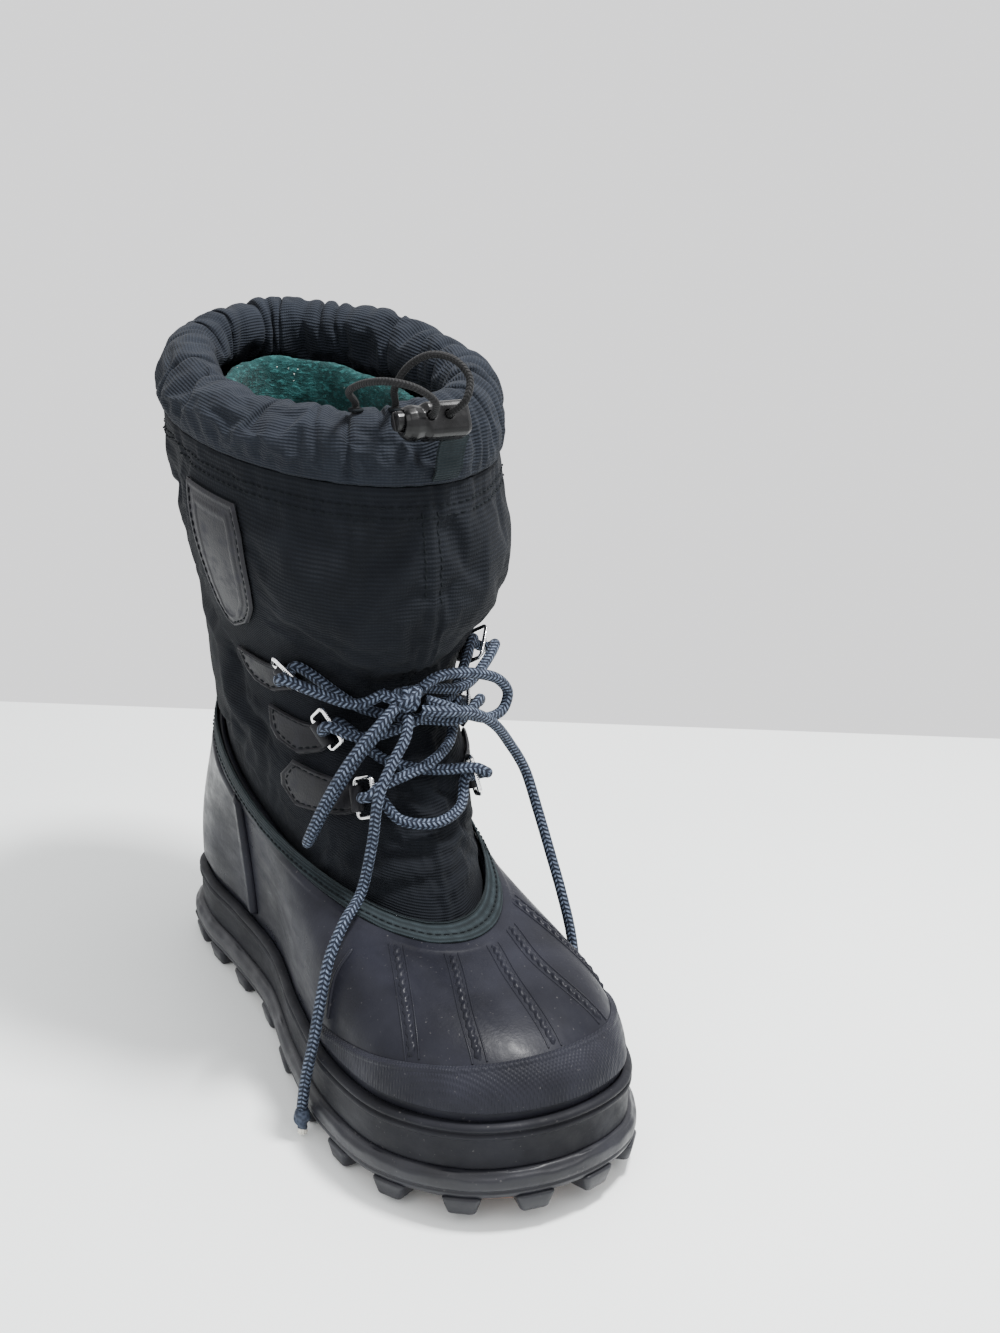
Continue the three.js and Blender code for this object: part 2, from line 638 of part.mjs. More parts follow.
function lacing() {
  const frames = [-1, 1].map((side) => TAB_SITES.map((site) => tabFrame(site, side)));
  const up = [0, 0.125, 0.25, 0.375, 0.5];
  const round = (side, k) => up.map((share) => roundBar(frames[side][k], share));
  const mirror = ([turn, level, height]) => [1 - turn, level, height];
  const foot = [[0.455, 0.36, 4.2], [0.5, 0.35, 4.2], [0.545, 0.36, 4.2]];
  const lowUnder = [[0.44, 0.405, 14], [0.475, 0.43, 6.5], [0.505, 0.445, 4.2], [0.545, 0.465, 4.2]];
  const lowOver = [[0.44, 0.405, 14], [0.475, 0.43, 11], [0.505, 0.445, 9.6], [0.55, 0.47, 6.2]];
  const highUnder = [[0.44, 0.515, 11], [0.475, 0.54, 5.5], [0.51, 0.56, 4.2], [0.56, 0.59, 4.2]];
  const highOver = [[0.44, 0.515, 12], [0.5, 0.555, 9.6], [0.56, 0.59, 6.5]];
  const toKnot = [[0.44, 0.64, 12]];
  const outerRun = [
    ...round(0, 0), ...lowOver.map(overFabric),
    ...round(1, 1), ...highUnder.map(mirror).map(overFabric),
    ...round(0, 2), ...toKnot.map(overFabric), KNOT_LEFT,
  ];
  const innerRun = [
    ...round(1, 0), ...lowUnder.map(mirror).map(overFabric),
    ...round(0, 1), ...highOver.map(overFabric),
    ...round(1, 2), ...toKnot.map(mirror).map(overFabric), KNOT_RIGHT,
  ];
  return tube([...outerRun.reverse(), ...foot.map(overFabric), ...innerRun], LACE_RADIUS, 0);
}

// ---- Felt inner boot ----
function linerColumn(turn) {
  const low = SHELL_BASE_Z + SHELL_WALL + BOARD_THICKNESS + FELT_INSOLE_THICKNESS + 3 * GAP;
  const inside = SHELL_WALL + LINER_EASE;
  const hem = SHELL_WALL + HEM_GAP + FABRIC + 2 * LINER_EASE;
  const topInset = COLLAR_DEPTH + LINER_EASE;
  return [
    planPoint(turn, SHELL_INSET + inside, low),
    raised(shellFace, turn, 0, -inside),
    raised(shellFace, turn, 0.2, -inside),
    raised(shellFace, turn, 0.4, -inside - 0.5),
    raised(shellFace, turn, 0.6, -inside - 1.5),
    raised(shellFace, turn, 0.8, -hem),
    raised(shellFace, turn, 1, -hem),
    ...[0.17, 0.23, 0.3, 0.37, 0.44, 0.53, 0.64].map((level) => (
      raised(shaftFace, turn, level, -FABRIC - 2 * LINER_EASE - 10 * Math.max(0, level - 0.3))
    )),
    collarPoint(turn, topInset - 4, -38),
    collarPoint(turn, topInset, -12),
    collarPoint(turn, topInset, COLLAR_HEIGHT - LINER_BELOW_RIM),
  ];
}

function feltLiner() {
  const outer = turns.map(linerColumn);
  const rows = outer[0].length;
  const inward = (c, r) => {
    const next = outer[(c + 1) % AROUND][r];
    const last = outer[(c + AROUND - 1) % AROUND][r];
    const above = outer[c][Math.min(rows - 1, r + 1)];
    const below = outer[c][Math.max(1, r - 1)];
    return above.clone().sub(below).cross(next.clone().sub(last)).normalize();
  };
  const outside = range(rows).map((r) => turns.map((_, c) => outer[c][r]));
  const inside = range(rows).slice(1).map((r) => turns.map((_, c) => (
    outer[c][r].clone().addScaledVector(inward(c, r), LINER_WALL)
  )));
  const floor = inside[0].map((p) => vec(p.x, p.y, outside[0][0].z + LINER_WALL));
  return loft([...outside, ...inside.reverse(), floor]);
}

// The knot and what hangs from it: points in front of the shaft, in millimetres.
const points = (list) => list.map(([x, y, z]) => vec(x, y, z));

function bowKnot() {
  const [x, y, z] = KNOT;
  const sections = [[-6.4, 2.6], [-4.6, 4.6], [-1.5, 5.6], [1.5, 5.6], [4.6, 4.6], [6.4, 2.6]];
  return loft(sections.map(([a, r]) => ringAt(vec(x + a, y, z), vec(1, 0, 0), vec(0, 0, 1), r, 10)));
}

const LATERAL_LOOP = [
  [-14.4, -36, 176.4], [-20, -36.5, 169], [-28, -33, 158], [-36.5, -28, 142], [-41.5, -21.5, 127.5],
  [-45, -20, 119.5], [-50, -25, 118], [-51, -31, 125], [-46, -37, 142], [-37, -41, 159], [-25, -42, 172],
  [-15.6, -41, 179.6],
];
const MEDIAL_LOOP = [
  [-0.9, -36, 184], [7, -34.5, 187], [18, -33.5, 187], [31, -32.5, 184], [41, -30.5, 179], [46, -29.5, 172],
  [43, -30.5, 165], [34, -33, 163.5], [22, -36, 168], [11, -38.5, 174], [0.4, -38, 178.8],
];
const LATERAL_END = [
  [-8.5, -38.1, 173.2], [-11.5, -42, 166], [-19.5, -45, 156], [-27, -48, 145], [-30, -46.5, 121],
  [-35, -45.5, 99], [-46.5, -53, 91.5], [-56.5, -59.5, 80], [-62, -63, 65], [-66.3, -64.5, 47],
  [-70, -63.5, 28], [-71.3, -62.5, 15],
];
const MEDIAL_END = [
  [-3.4, -41, 175.7], [6, -45, 175], [18, -43.5, 172.5], [33, -39, 163], [45.5, -33, 149], [56, -30, 133],
  [61, -33, 115], [63.5, -41, 96], [65.5, -49, 78], [67.5, -55, 60], [69, -58, 42], [70.5, -59, 24],
  [70.8, -59, 15],
];

function laceTip([x, y, z]) {
  const sections = [[1.6, 2.2], [0.4, 3.6], [-2.2, 4], [-4.8, 3.6], [-6.2, 2.4], [-9, 2.2]];
  const top = z - GAP - 1.8;
  return loft(sections.map(([up, r]) => ringAt(vec(x, y, top + up), vec(0, 0, -1), vec(1, 0, 0), r)));
}

// ---- Cord lock: made lying along X at its own middle, cord holes along Y, then set in place ----
function placed(geometry) {
  geometry.rotateX(-THREE.MathUtils.degToRad(LOCK_TILT));
  return geometry.translate(...LOCK_PLACE);
}

const alongX = (from, to, radius, count = 12) => rod(vec(from, 0, 0), vec(to, 0, 0), radius, count);
const cordHoles = [-CORD_HOLES / 2, CORD_HOLES / 2];

function lockBody() {
  const low = -1.2; // body's middle below its bore
  const sections = [
    [LOCK_LEFT, 5, 5], [LOCK_LEFT + 1.5, 6.3, 6.5], [LOCK_LEFT + 4.5, 7, 7.3], [LOCK_LEFT + 8, 6.2, 6.6],
    [LOCK_LEFT + 10, 6.6, 7.4], [LOCK_RIGHT - 2, 6.6, 7.4], [LOCK_RIGHT, 5.6, 6.2],
  ];
  const block = loft(sections.map(([x, halfY, halfZ]) => range(16).map((i) => {
    const angle = 2 * Math.PI * i / 16;
    const square = (v) => Math.sign(v) * Math.sqrt(Math.abs(v));
    const soft = x > LOCK_LEFT + 9 ? square : (v) => v;
    return vec(x, halfY * soft(Math.cos(angle)), low + halfZ * soft(Math.sin(angle)));
  })));
  let solid = toSolid(block).subtract(toSolid(alongX(LOCK_LEFT - 1, BORE_END, PLUNGER_RADIUS + GAP, 16)));
  for (const x of cordHoles) {
    const hole = rod(vec(x, -LOCK_RIGHT, 0), vec(x, LOCK_RIGHT, 0), DRAWCORD_RADIUS + CORD_EASE);
    solid = solid.subtract(toSolid(hole));
  }
  return placed(toGeometry(solid));
}

function lockButton() {
  const start = LOCK_LEFT - PLUNGER_STANDS;
  let solid = toSolid(alongX(start, PLUNGER_END, PLUNGER_RADIUS, 16));
  for (const x of cordHoles) {
    const length = 2 * DRAWCORD_RADIUS + 2 * GAP + PLUNGER_TRAVEL;
    const slot = new THREE.BoxGeometry(length, 4 * PLUNGER_RADIUS, 2 * (DRAWCORD_RADIUS + GAP));
    slot.translate(x + DRAWCORD_RADIUS + GAP - length / 2, 0, 0);
    solid = solid.subtract(toSolid(slot));
  }
  const groove = new THREE.BoxGeometry(2, 1.2, 4 * PLUNGER_RADIUS);
  return placed(toGeometry(solid.subtract(toSolid(groove.translate(start, 0, 0)))));
}

function lockSpring() {
  const from = PLUNGER_END + GAP + SPRING_WIRE;
  const to = BORE_END - GAP - SPRING_WIRE;
  const steps = 8 * SPRING_TURNS;
  return placed(tube(range(steps + 1).map((i) => {
    const angle = 2 * Math.PI * i / 8;
    return vec(mix(from, to, i / steps), SPRING_RADIUS * Math.cos(angle), SPRING_RADIUS * Math.sin(angle));
  }), SPRING_WIRE, 0, 4));
}

// Webbing from the collar's seam up to the underside of the cord lock.
function lockTab() {
  const rows = [[-0.8, 2], [-3.7, 7], [-4.8, 14], [-6.2, 19], [-8, 22.5]];
  const grid = (thick) => rows.map(([inset, height]) => range(4).map((c) => (
    collarPoint(mix(0.501, 0.528, c / 3), inset - thick, height)
  )));
  return plate(grid(1.4), grid(0));
}

// ---- Drawcord: each run goes from a knot behind the lock, through it and over into the collar ----
const lockPoint = (x, y) => {
  const tilt = THREE.MathUtils.degToRad(LOCK_TILT);
  const [cx, cy, cz] = LOCK_PLACE;
  return vec(cx + x, cy + y * Math.cos(tilt), cz - y * Math.sin(tilt));
};
const LATERAL_ARC = [
  [-11.5, -65, 311], [-18, -63.5, 316], [-25.5, -55, 318], [-30.5, -43, 316], [-31.5, -31, 311],
];
const MEDIAL_ARC = [
  [1.5, -66, 311], [4, -64, 319], [0, -59, 325.5], [-7, -53, 327], [-13, -46, 322], [-15, -38.5, 313],
];

function drawcord(hole, arc, eyeletTurn) {
  const { top, bottom } = eyelet(eyeletTurn);
  const inside = bottom.clone().lerp(top, 0.15);
  const above = top.clone().sub(bottom).setLength(3).add(top);
  return tube([
    lockPoint(hole, 8.2), lockPoint(hole, 0), lockPoint(hole, -8), ...points(arc), above, top, inside,
  ], DRAWCORD_RADIUS, 13);
}

function cordKnot(hole) {
  const sections = [[0, 1.6], [1, 2.6], [2.6, 2.9], [4.2, 2.5], [5, 1.4]];
  const start = 8.2 + GAP;
  const direction = lockPoint(0, 1).sub(lockPoint(0, 0));
  return loft(sections.map(([d, r]) => ringAt(lockPoint(hole, start + d), direction, vec(1, 0, 0), r)));
}

// ---- Assembly ----
const group = new THREE.Group();
const finish = (color, roughness, metalness = 0) => ({ color, roughness, metalness });
const rubber = finish(0x34323a, 0.45);
const outsoleRubber = finish(0x1d1d20, 0.6);
const gumRubber = finish(0x785a50, 0.8);
const nylon = finish(0x1c2021, 0.85);
const tape = finish(0x23272a, 0.9);
const felt = finish(0x144b3c, 1);
const greyFelt = finish(0x6b6b66, 1);
const fibreboard = finish(0x8a7660, 0.9);
const steel = finish(0x9a9da0, 0.35, 1);
const leatherette = finish(0x2a2a2e, 0.5);
const laceBraid = finish(0x171c2a, 0.9);
const elastic = finish(0x151618, 0.8);
const plastic = finish(0x121315, 0.6);

function add(name, geometry, look) {
  const mesh = new THREE.Mesh(geometry, new THREE.MeshStandardMaterial(look));
  mesh.name = name;
  group.add(mesh);
}

add("outsole_tread", treadPlate(), gumRubber);
add("outsole", outsole(), outsoleRubber);
add("foxing_band", foxingBand(), rubber);
add("rubber_shell", rubberShell(), rubber);
add("toe_cap", toeCap(), rubber);
add("heel_counter", heelCounter(), rubber);
add("shell_binding", shellBinding(), tape);
add("shank", shankBlock(0), steel);
add("insole_board", insoleBoard(), fibreboard);
add("felt_insole", feltInsole(), greyFelt);
add("shaft_lateral", shaftPanel(0, 0.5), nylon);
add("shaft_medial", shaftPanel(0.5, 1), nylon);
add("snow_collar", snowCollar(), nylon);
add("felt_liner", feltLiner(), felt);
add("side_patch", sidePatch(), leatherette);
TAB_SITES.forEach((site, k) => {
  for (const [side, label] of [[-1, "lateral"], [1, "medial"]]) {
    add(`lace_tab_${label}_${k + 1}`, laceTab(site, side), leatherette);
    add(`lace_ring_${label}_${k + 1}`, laceRing(site, side), steel);
  }
});
add("lacing", lacing(), laceBraid);
add("bow_knot", bowKnot(), laceBraid);
add("bow_loop_lateral", tube(points(LATERAL_LOOP), LACE_RADIUS, 0), laceBraid);
add("bow_loop_medial", tube(points(MEDIAL_LOOP), LACE_RADIUS, 0), laceBraid);
add("lace_end_lateral", tube(points(LATERAL_END), LACE_RADIUS, 0), laceBraid);
add("lace_end_medial", tube(points(MEDIAL_END), LACE_RADIUS, 0), laceBraid);
add("lace_tip_lateral", laceTip(LATERAL_END.at(-1)), laceBraid);
add("lace_tip_medial", laceTip(MEDIAL_END.at(-1)), laceBraid);
add("cord_lock_body", lockBody(), plastic);
add("cord_lock_button", lockButton(), plastic);
add("cord_lock_spring", lockSpring(), steel);
add("cord_lock_tab", lockTab(), tape);
add("drawcord_lateral", drawcord(-CORD_HOLES / 2, LATERAL_ARC, EYELET_LATERAL), elastic);
add("drawcord_medial", drawcord(CORD_HOLES / 2, MEDIAL_ARC, EYELET_MEDIAL), elastic);
add("drawcord_knot_lateral", cordKnot(-CORD_HOLES / 2), elastic);
add("drawcord_knot_medial", cordKnot(CORD_HOLES / 2), elastic);

export default group;
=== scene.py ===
"""Winter pac boot: rubber, fabric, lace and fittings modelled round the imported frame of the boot."""

import math

import bpy
import numpy as np
from mathutils import Matrix, Vector, noise
from mathutils.bvhtree import BVHTree


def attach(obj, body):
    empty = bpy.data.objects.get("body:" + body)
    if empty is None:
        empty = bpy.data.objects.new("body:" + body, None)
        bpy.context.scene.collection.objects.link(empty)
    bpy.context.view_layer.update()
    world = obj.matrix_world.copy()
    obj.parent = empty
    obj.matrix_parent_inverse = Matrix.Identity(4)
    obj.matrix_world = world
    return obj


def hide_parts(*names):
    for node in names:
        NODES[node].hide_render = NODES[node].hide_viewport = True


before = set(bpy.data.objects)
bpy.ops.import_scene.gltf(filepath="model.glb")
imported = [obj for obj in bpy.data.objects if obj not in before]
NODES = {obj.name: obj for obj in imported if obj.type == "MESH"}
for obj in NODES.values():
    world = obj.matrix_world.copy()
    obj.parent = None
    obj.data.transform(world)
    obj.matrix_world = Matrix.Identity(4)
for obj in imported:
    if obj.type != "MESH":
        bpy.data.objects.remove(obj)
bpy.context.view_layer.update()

bl_info = {
    "name": "Winter Pac Boot",
    "version": (1, 0, 0),
    "blender": (4, 5, 0),
    "location": "View3D > Sidebar > Boot",
    "description": "Models the rubber, fabric, lace and fittings of a felt-lined winter boot",
    "category": "Add Mesh",
}

MM = 0.001
TURN = 2 * math.pi

# Sizes of the boot, in millimetres, as its frame has them.
SOLE_LENGTH, HEEL_WIDTH, WAIST_WIDTH, BALL_WIDTH = 325, 95, 92, 128
HEEL_Y = SOLE_LENGTH / 2
TOE_SPRING, SPRING_START = 7, 215
LUG_HEIGHT, LUG_COUNT, LUG_LENGTH, LUG_DEPTH = 8, 26, 15, 14
SHELL_WALL, SHELL_INSET, SHELL_BASE_Z, BAND_TOP_Z = 3, 7.3, 20.3, 40.3
BAND_FACE = 4
TAPE_GAP = 0.5
HEM_INSIDE = -3.9
FABRIC = 2.2
COLLAR_HEIGHT, COLLAR_OUTER_HEIGHT = 34, 25
TAB_GAP, TAB_THICKNESS, TAB_POINT = 0.6, 1.8, 6.9
FOLD_RADIUS, FOLD_LENGTH, FOLD_HEIGHT = 3, 11.6, 4
RING_WIDTH, RING_DEPTH, RING_TILT, WIRE_RADIUS = 17, 11, math.radians(30), 1.1
LACE_TURN = 5.2
LOCK_PLACE, LOCK_TILT = (-5, -52, 302), math.radians(24)
TAB_SITES = (
    {"low": (0.407, 0.345), "high": (0.4145, 0.421), "reach": 28, "lean": -4},
    {"low": (0.3995, 0.461), "high": (0.381, 0.524), "reach": 17, "lean": -11},
    {"low": (0.38, 0.595), "high": (0.3455, 0.649), "reach": 17, "lean": -14},
)
PATCH = {"turn": 0.289, "half": 0.035, "top": 0.942, "bottom": 0.68}
# The patch's width and height, and the shares of its height at which its width is given.
PATCH_SIZE, PATCH_RISE = (30.0, 62.0), (0, 0.16, 0.34, 0.52, 0.68, 0.84, 1)


# ---- Curves and surfaces of the boot ----
def unit(vectors):
    return vectors / np.maximum(np.linalg.norm(vectors, axis=-1, keepdims=True), 1e-9)


def mix(a, b, share):
    return a + (b - a) * share


def ease(value, low, high):
    """0 below low, 1 above high and smooth between."""
    share = np.clip((value - low) / (high - low), 0, 1)
    return share * share * (3 - 2 * share)


def bell(value, middle, width):
    """1 at the middle, falling off smoothly on both sides."""
    return np.exp(-(((value - middle) / width) ** 2))


def apart(turn, middle):
    """How far round the boot a turn is from a middle, from -0.5 to 0.5."""
    return (turn - middle + 0.5) % 1 - 0.5


def run_of(line):
    """The distance along a line at each of its places."""
    return np.concatenate([[0], np.cumsum(np.linalg.norm(np.diff(line, axis=0), axis=1))])


def along_line(line, run, at):
    """Places on a line at distances along it."""
    return np.stack([np.interp(at, run, line[:, k]) for k in range(line.shape[1])], -1)


def through(knots, t, closed=False):
    """Places at t on the smooth curve through knots; each place may have knots of its own."""
    t = np.atleast_1d(np.asarray(t, float))
    knots = np.asarray(knots, float)
    if knots.ndim == 2:
        knots = np.broadcast_to(knots[:, None], (len(knots), len(t), 3))
    count, here = len(knots), np.arange(len(t))
    if closed:
        p = (t % 1) * count
        i = np.floor(p).astype(int)
        p0, p1, p2, p3 = (knots[(i + k) % count, here] for k in (-1, 0, 1, 2))
    else:
        p = np.clip(t, 0, 1) * (count - 1)
        i = np.minimum(np.floor(p).astype(int), count - 2)
        p1, p2 = knots[i, here], knots[i + 1, here]
        p0 = np.where((i > 0)[:, None], knots[np.maximum(i - 1, 0), here], 2 * p1 - p2)
        after = knots[np.minimum(i + 2, count - 1), here]
        p3 = np.where((i < count - 2)[:, None], after, 2 * p2 - p1)
    w = (p - i)[:, None]
    d0, d1, d2 = (
        np.sqrt(np.maximum(np.linalg.norm(b - a, axis=1), 1e-9))[:, None]
        for a, b in ((p0, p1), (p1, p2), (p2, p3))
    )
    start = ((p1 - p0) / d0 - (p2 - p0) / (d0 + d1) + (p2 - p1) / d1) * d1
    end = ((p2 - p1) / d1 - (p3 - p1) / (d1 + d2) + (p3 - p2) / d2) * d1
    cubic = 2 * p1 - 2 * p2 + start + end
    square = -3 * p1 + 3 * p2 - 2 * start - end
    return p1 + start * w + square * w**2 + cubic * w**3


def table(function, count=2880):
    """A function of the turn round the boot, looked up from even steps."""
    turns = np.arange(count + 1) / count
    values = function(turns)
    return lambda turn: np.stack(
        [np.interp(np.mod(turn, 1), turns, values[:, k]) for k in range(3)], -1
    )


OUTER_SIDE = (
    (0.012, 0.42 * HEEL_WIDTH), (0.062, 0.87 * HEEL_WIDTH), (0.154, 1.03 * HEEL_WIDTH),
    (0.27, 1.06 * WAIST_WIDTH), (0.415, 1.1 * WAIST_WIDTH), (0.57, 0.96 * BALL_WIDTH),
    (0.723, 1.06 * BALL_WIDTH), (0.861, 0.97 * BALL_WIDTH), (0.965, 0.58 * BALL_WIDTH),
)
INNER_SIDE = (
    (0.012, 0.4 * HEEL_WIDTH), (0.062, 0.82 * HEEL_WIDTH), (0.154, 0.97 * HEEL_WIDTH),
    (0.27, 0.96 * WAIST_WIDTH), (0.415, 0.98 * WAIST_WIDTH), (0.57, 0.84 * BALL_WIDTH),
    (0.723, 0.94 * BALL_WIDTH), (0.861, 0.9 * BALL_WIDTH), (0.965, 0.58 * BALL_WIDTH),
)
SOLE_KNOTS = np.array(
    [(0, HEEL_Y, 0)]
    + [(-w / 2, HEEL_Y - s * SOLE_LENGTH, 0) for s, w in OUTER_SIDE]
    + [(0, -HEEL_Y, 0)]
    + [(w / 2, HEEL_Y - s * SOLE_LENGTH, 0) for s, w in reversed(INNER_SIDE)]
)
outline = table(lambda turns: through(SOLE_KNOTS, turns, closed=True))


def spring(y):
    forward = np.maximum(0, HEEL_Y - y - SPRING_START) / (SOLE_LENGTH - SPRING_START)
    return TOE_SPRING * forward * forward


def plan(turn, inset, z):
    """The sole's outline, moved in by inset, at a height above the sprung ground."""
    here = outline(turn)
    ahead = unit(outline(turn + 0.002) - outline(turn - 0.002))
    x = here[..., 0] - inset * ahead[..., 1]
    y = here[..., 1] + inset * ahead[..., 0]
    return np.stack([x, y, z + spring(y)], -1)


def oval(turn, back, front, width, z_back, z_front):
    share = (1 - np.cos(TURN * turn)) / 2
    x = -width / 2 * np.sin(TURN * turn)
    return np.stack([x, HEEL_Y - mix(back, front, share), mix(z_back, z_front, share)], -1)


def galosh(turn, level):
    """The galosh's outer face: level 0 on top of the foxing band, 1 at the topline."""
    turn, level = np.broadcast_arrays(np.asarray(turn, float), np.asarray(level, float))
    foot = plan(turn, SHELL_INSET, BAND_TOP_Z)
    rim = oval(turn, 9, 228, 94, 134, 84)
    across = (foot - rim) * (1, 1, 0)
    rise = rim[..., 2] - foot[..., 2]
    reach = np.linalg.norm(across, axis=-1)
    flatness = reach / (reach + rise)
    low = plan(turn, SHELL_INSET - 2, BAND_TOP_Z)
    low[..., 2] += rise * (0.38 + 0.5 * flatness)
    high = rim + 0.42 * across
    high[..., 2] -= rise * 0.45 * (1 - flatness)
    s = level[..., None]
    return (1 - s) ** 3 * foot + 3 * s * (1 - s) ** 2 * low + 3 * s * s * (1 - s) * high + s**3 * rim


def outward(face, turn, level, step=0.004):
    up = face(turn, np.minimum(1, level + step)) - face(turn, np.maximum(0, level - step))
    return unit(np.cross(face(turn + step, level) - face(turn - step, level), up))


def raised(face, turn, level, height):
    turn, level = np.broadcast_arrays(np.asarray(turn, float), np.asarray(level, float))
    height = np.broadcast_to(np.asarray(height, float), turn.shape)[..., None]
    return face(turn, level) + outward(face, turn, level) * height


hem_low = table(lambda turns: raised(galosh, turns, 0.9, HEM_INSIDE))
hem_high = table(lambda turns: raised(galosh, turns, 1.0, HEM_INSIDE))
SHAFT_STATIONS = tuple(
    (back, front, width, mix(134, 296, share), mix(84, 272, share))
    for share, back, front, width in (
        (0.1, 14, 217, 91), (0.24, 18, 204, 96), (0.38, 23, 186, 100), (0.5, 26, 183, 110),
        (0.62, 24, 198, 122), (0.78, 16, 207, 136), (1, 10, 202, 140),
    )
)


def shaft(turn, level):
    """The shaft's outer face: level 0 at its hem inside the galosh, 1 at the collar's seam."""
    turn, level = np.broadcast_arrays(np.asarray(turn, float), np.asarray(level, float))
    flat = turn.ravel()
    knots = np.stack(
        [hem_low(flat), hem_high(flat)] + [oval(flat, *station) for station in SHAFT_STATIONS]
    )
    return through(knots, level.ravel()).reshape(*turn.shape, 3)


def collar(turn, inset, height):
    """A place in the collar's section: in from its seam and up."""
    seam = oval(turn, *SHAFT_STATIONS[-1])
    step = 0.004
    along = oval(turn + step, *SHAFT_STATIONS[-1]) - oval(turn - step, *SHAFT_STATIONS[-1])
    along = unit(along * (1, 1, 0))
    slump = mix(1, COLLAR_OUTER_HEIGHT / COLLAR_HEIGHT, (1 + np.sin(TURN * turn)) / 2)
    x = seam[..., 0] - inset * along[..., 1]
    y = seam[..., 1] + inset * along[..., 0]
    return np.stack([x, y, seam[..., 2] + TAPE_GAP + height * slump], -1)


def smooth_line(knots, step, closed=False):
    """Even places along the smooth curve through knots."""
    fine = through(knots, np.linspace(0, 1, 60 * len(knots)), closed)
    if closed:
        fine[-1] = fine[0]
    run = run_of(fine)
    count = max(4, int(round(run[-1] / step)))
    return along_line(fine, run, np.linspace(0, run[-1], count + 1))


def length_of(line):
    return float(np.linalg.norm(np.diff(line, axis=0), axis=1).sum())


def even_seam(at):
    """The height of the collar's seam beside places on the boot."""
    return mix(272, 296, np.clip((at[:, 1] + 40) / 192, 0, 1))


def rough(places, size, seed=0.0):
    """Smooth noise, about -1 to 1, at places in millimetres."""
    shift = Vector((seed * 7.3, seed * 3.1, seed * 5.7))
    flat = np.asarray(places).reshape(-1, 3)
    values = [noise.noise(Vector(p) / size + shift) for p in flat.tolist()]
    return np.array(values).reshape(np.asarray(places).shape[:-1])


# ---- Modelling ----
def deselect():
    for item in bpy.context.selected_objects:
        item.select_set(False)


def activate(piece):
    deselect()
    piece.select_set(True)
    bpy.context.view_layer.objects.active = piece


def edit(piece, *steps):
    """Runs edit-mode steps on the whole of a piece."""
    activate(piece)
    bpy.ops.object.mode_set(mode="EDIT")
    bpy.ops.mesh.select_all(action="SELECT")
    for step, settings in steps:
        getattr(bpy.ops.mesh, step)(**settings)
    bpy.ops.object.mode_set(mode="OBJECT")


def modify(piece, kind, **settings):
    """Adds a modifier and applies it."""
    activate(piece)
    modifier = piece.modifiers.new(kind.title(), kind)
    for key, value in settings.items():
        setattr(modifier, key, value)
    bpy.ops.object.modifier_apply(modifier=modifier.name)


def subdivide(piece, levels):
    modify(piece, "SUBSURF", levels=levels, render_levels=levels)


def places_of(piece):
    flat = np.empty(len(piece.data.vertices) * 3)
    piece.data.vertices.foreach_get("co", flat)
    return flat.reshape(-1, 3) / MM


def place(piece, places):
    piece.data.vertices.foreach_set("co", (np.asarray(places) * MM).ravel())
    piece.data.update()


def normals_of(piece):
    flat = np.empty(len(piece.data.vertices) * 3)
    piece.data.vertex_normals.foreach_get("vector", flat)
    return flat.reshape(-1, 3)


def skin(name, grid, size=(1, 1), close=False, caps=False):
    """A grid primitive laid over rows and columns of places in millimetres, its UVs in metres."""
    grid = np.asarray(grid, float)
    rows, columns = grid.shape[:2]
    deselect()
    bpy.ops.mesh.primitive_grid_add(x_subdivisions=columns - 1, y_subdivisions=rows - 1, size=2)
    piece = bpy.context.object
    piece.name = piece.data.name = name
    at = places_of(piece) * MM
    column = np.rint((at[:, 0] + 1) / 2 * (columns - 1)).astype(int)
    row = np.rint((at[:, 1] + 1) / 2 * (rows - 1)).astype(int)
    place(piece, grid[row, column])
    layer = piece.data.uv_layers.active.data
    flat = np.empty(len(layer) * 2)
    layer.foreach_get("uv", flat)
    layer.foreach_set("uv", (flat.reshape(-1, 2) * size).ravel())
    steps = []
    if close or caps:
        steps.append(("remove_doubles", {"threshold": 1e-6}))
    if caps:
        steps.append(("fill_holes", {"sides": 0}))
        steps.append(("normals_make_consistent", {"inside": False}))
    if steps:
        edit(piece, *steps)
    return piece


def frames_along(line, closed=False):
    """A side and another direction square to a line, carried along without twist."""
    if closed:
        tangents = unit(np.roll(line, -1, axis=0) - np.roll(line, 1, axis=0))
    else:
        tangents = unit(np.gradient(line, axis=0))
    side = np.empty_like(line)
    start = np.array([0.31, 0.2, 0.93])
    for k, tangent in enumerate(tangents):
        start = start - tangent * start.dot(tangent)
        start = start / np.linalg.norm(start)
        side[k] = start
    return side, np.cross(tangents, side)


def swept(name, line, radius, sides=14, closed=False):
    """A tube along a line; radius may be a number or a function of angle and distance along."""
    if closed:
        line = line[:-1]
    side, other = frames_along(line, closed)
    angle = np.linspace(0, TURN, sides + 1)[None]
    run = run_of(line)
    wide = radius(angle, run[:, None]) if callable(radius) else np.full((len(line), sides + 1), radius)
    round_ = np.cos(angle)[..., None] * side[:, None] + np.sin(angle)[..., None] * other[:, None]
    grid = line[:, None] + wide[..., None] * round_
    grid[:, -1] = grid[:, 0]
    if closed:
        grid = np.concatenate([grid, grid[:1]])
    middle = float(np.mean(wide))
    size = (TURN * middle * MM, run[-1] * MM)
    return skin(name, grid, size, close=True, caps=not closed)


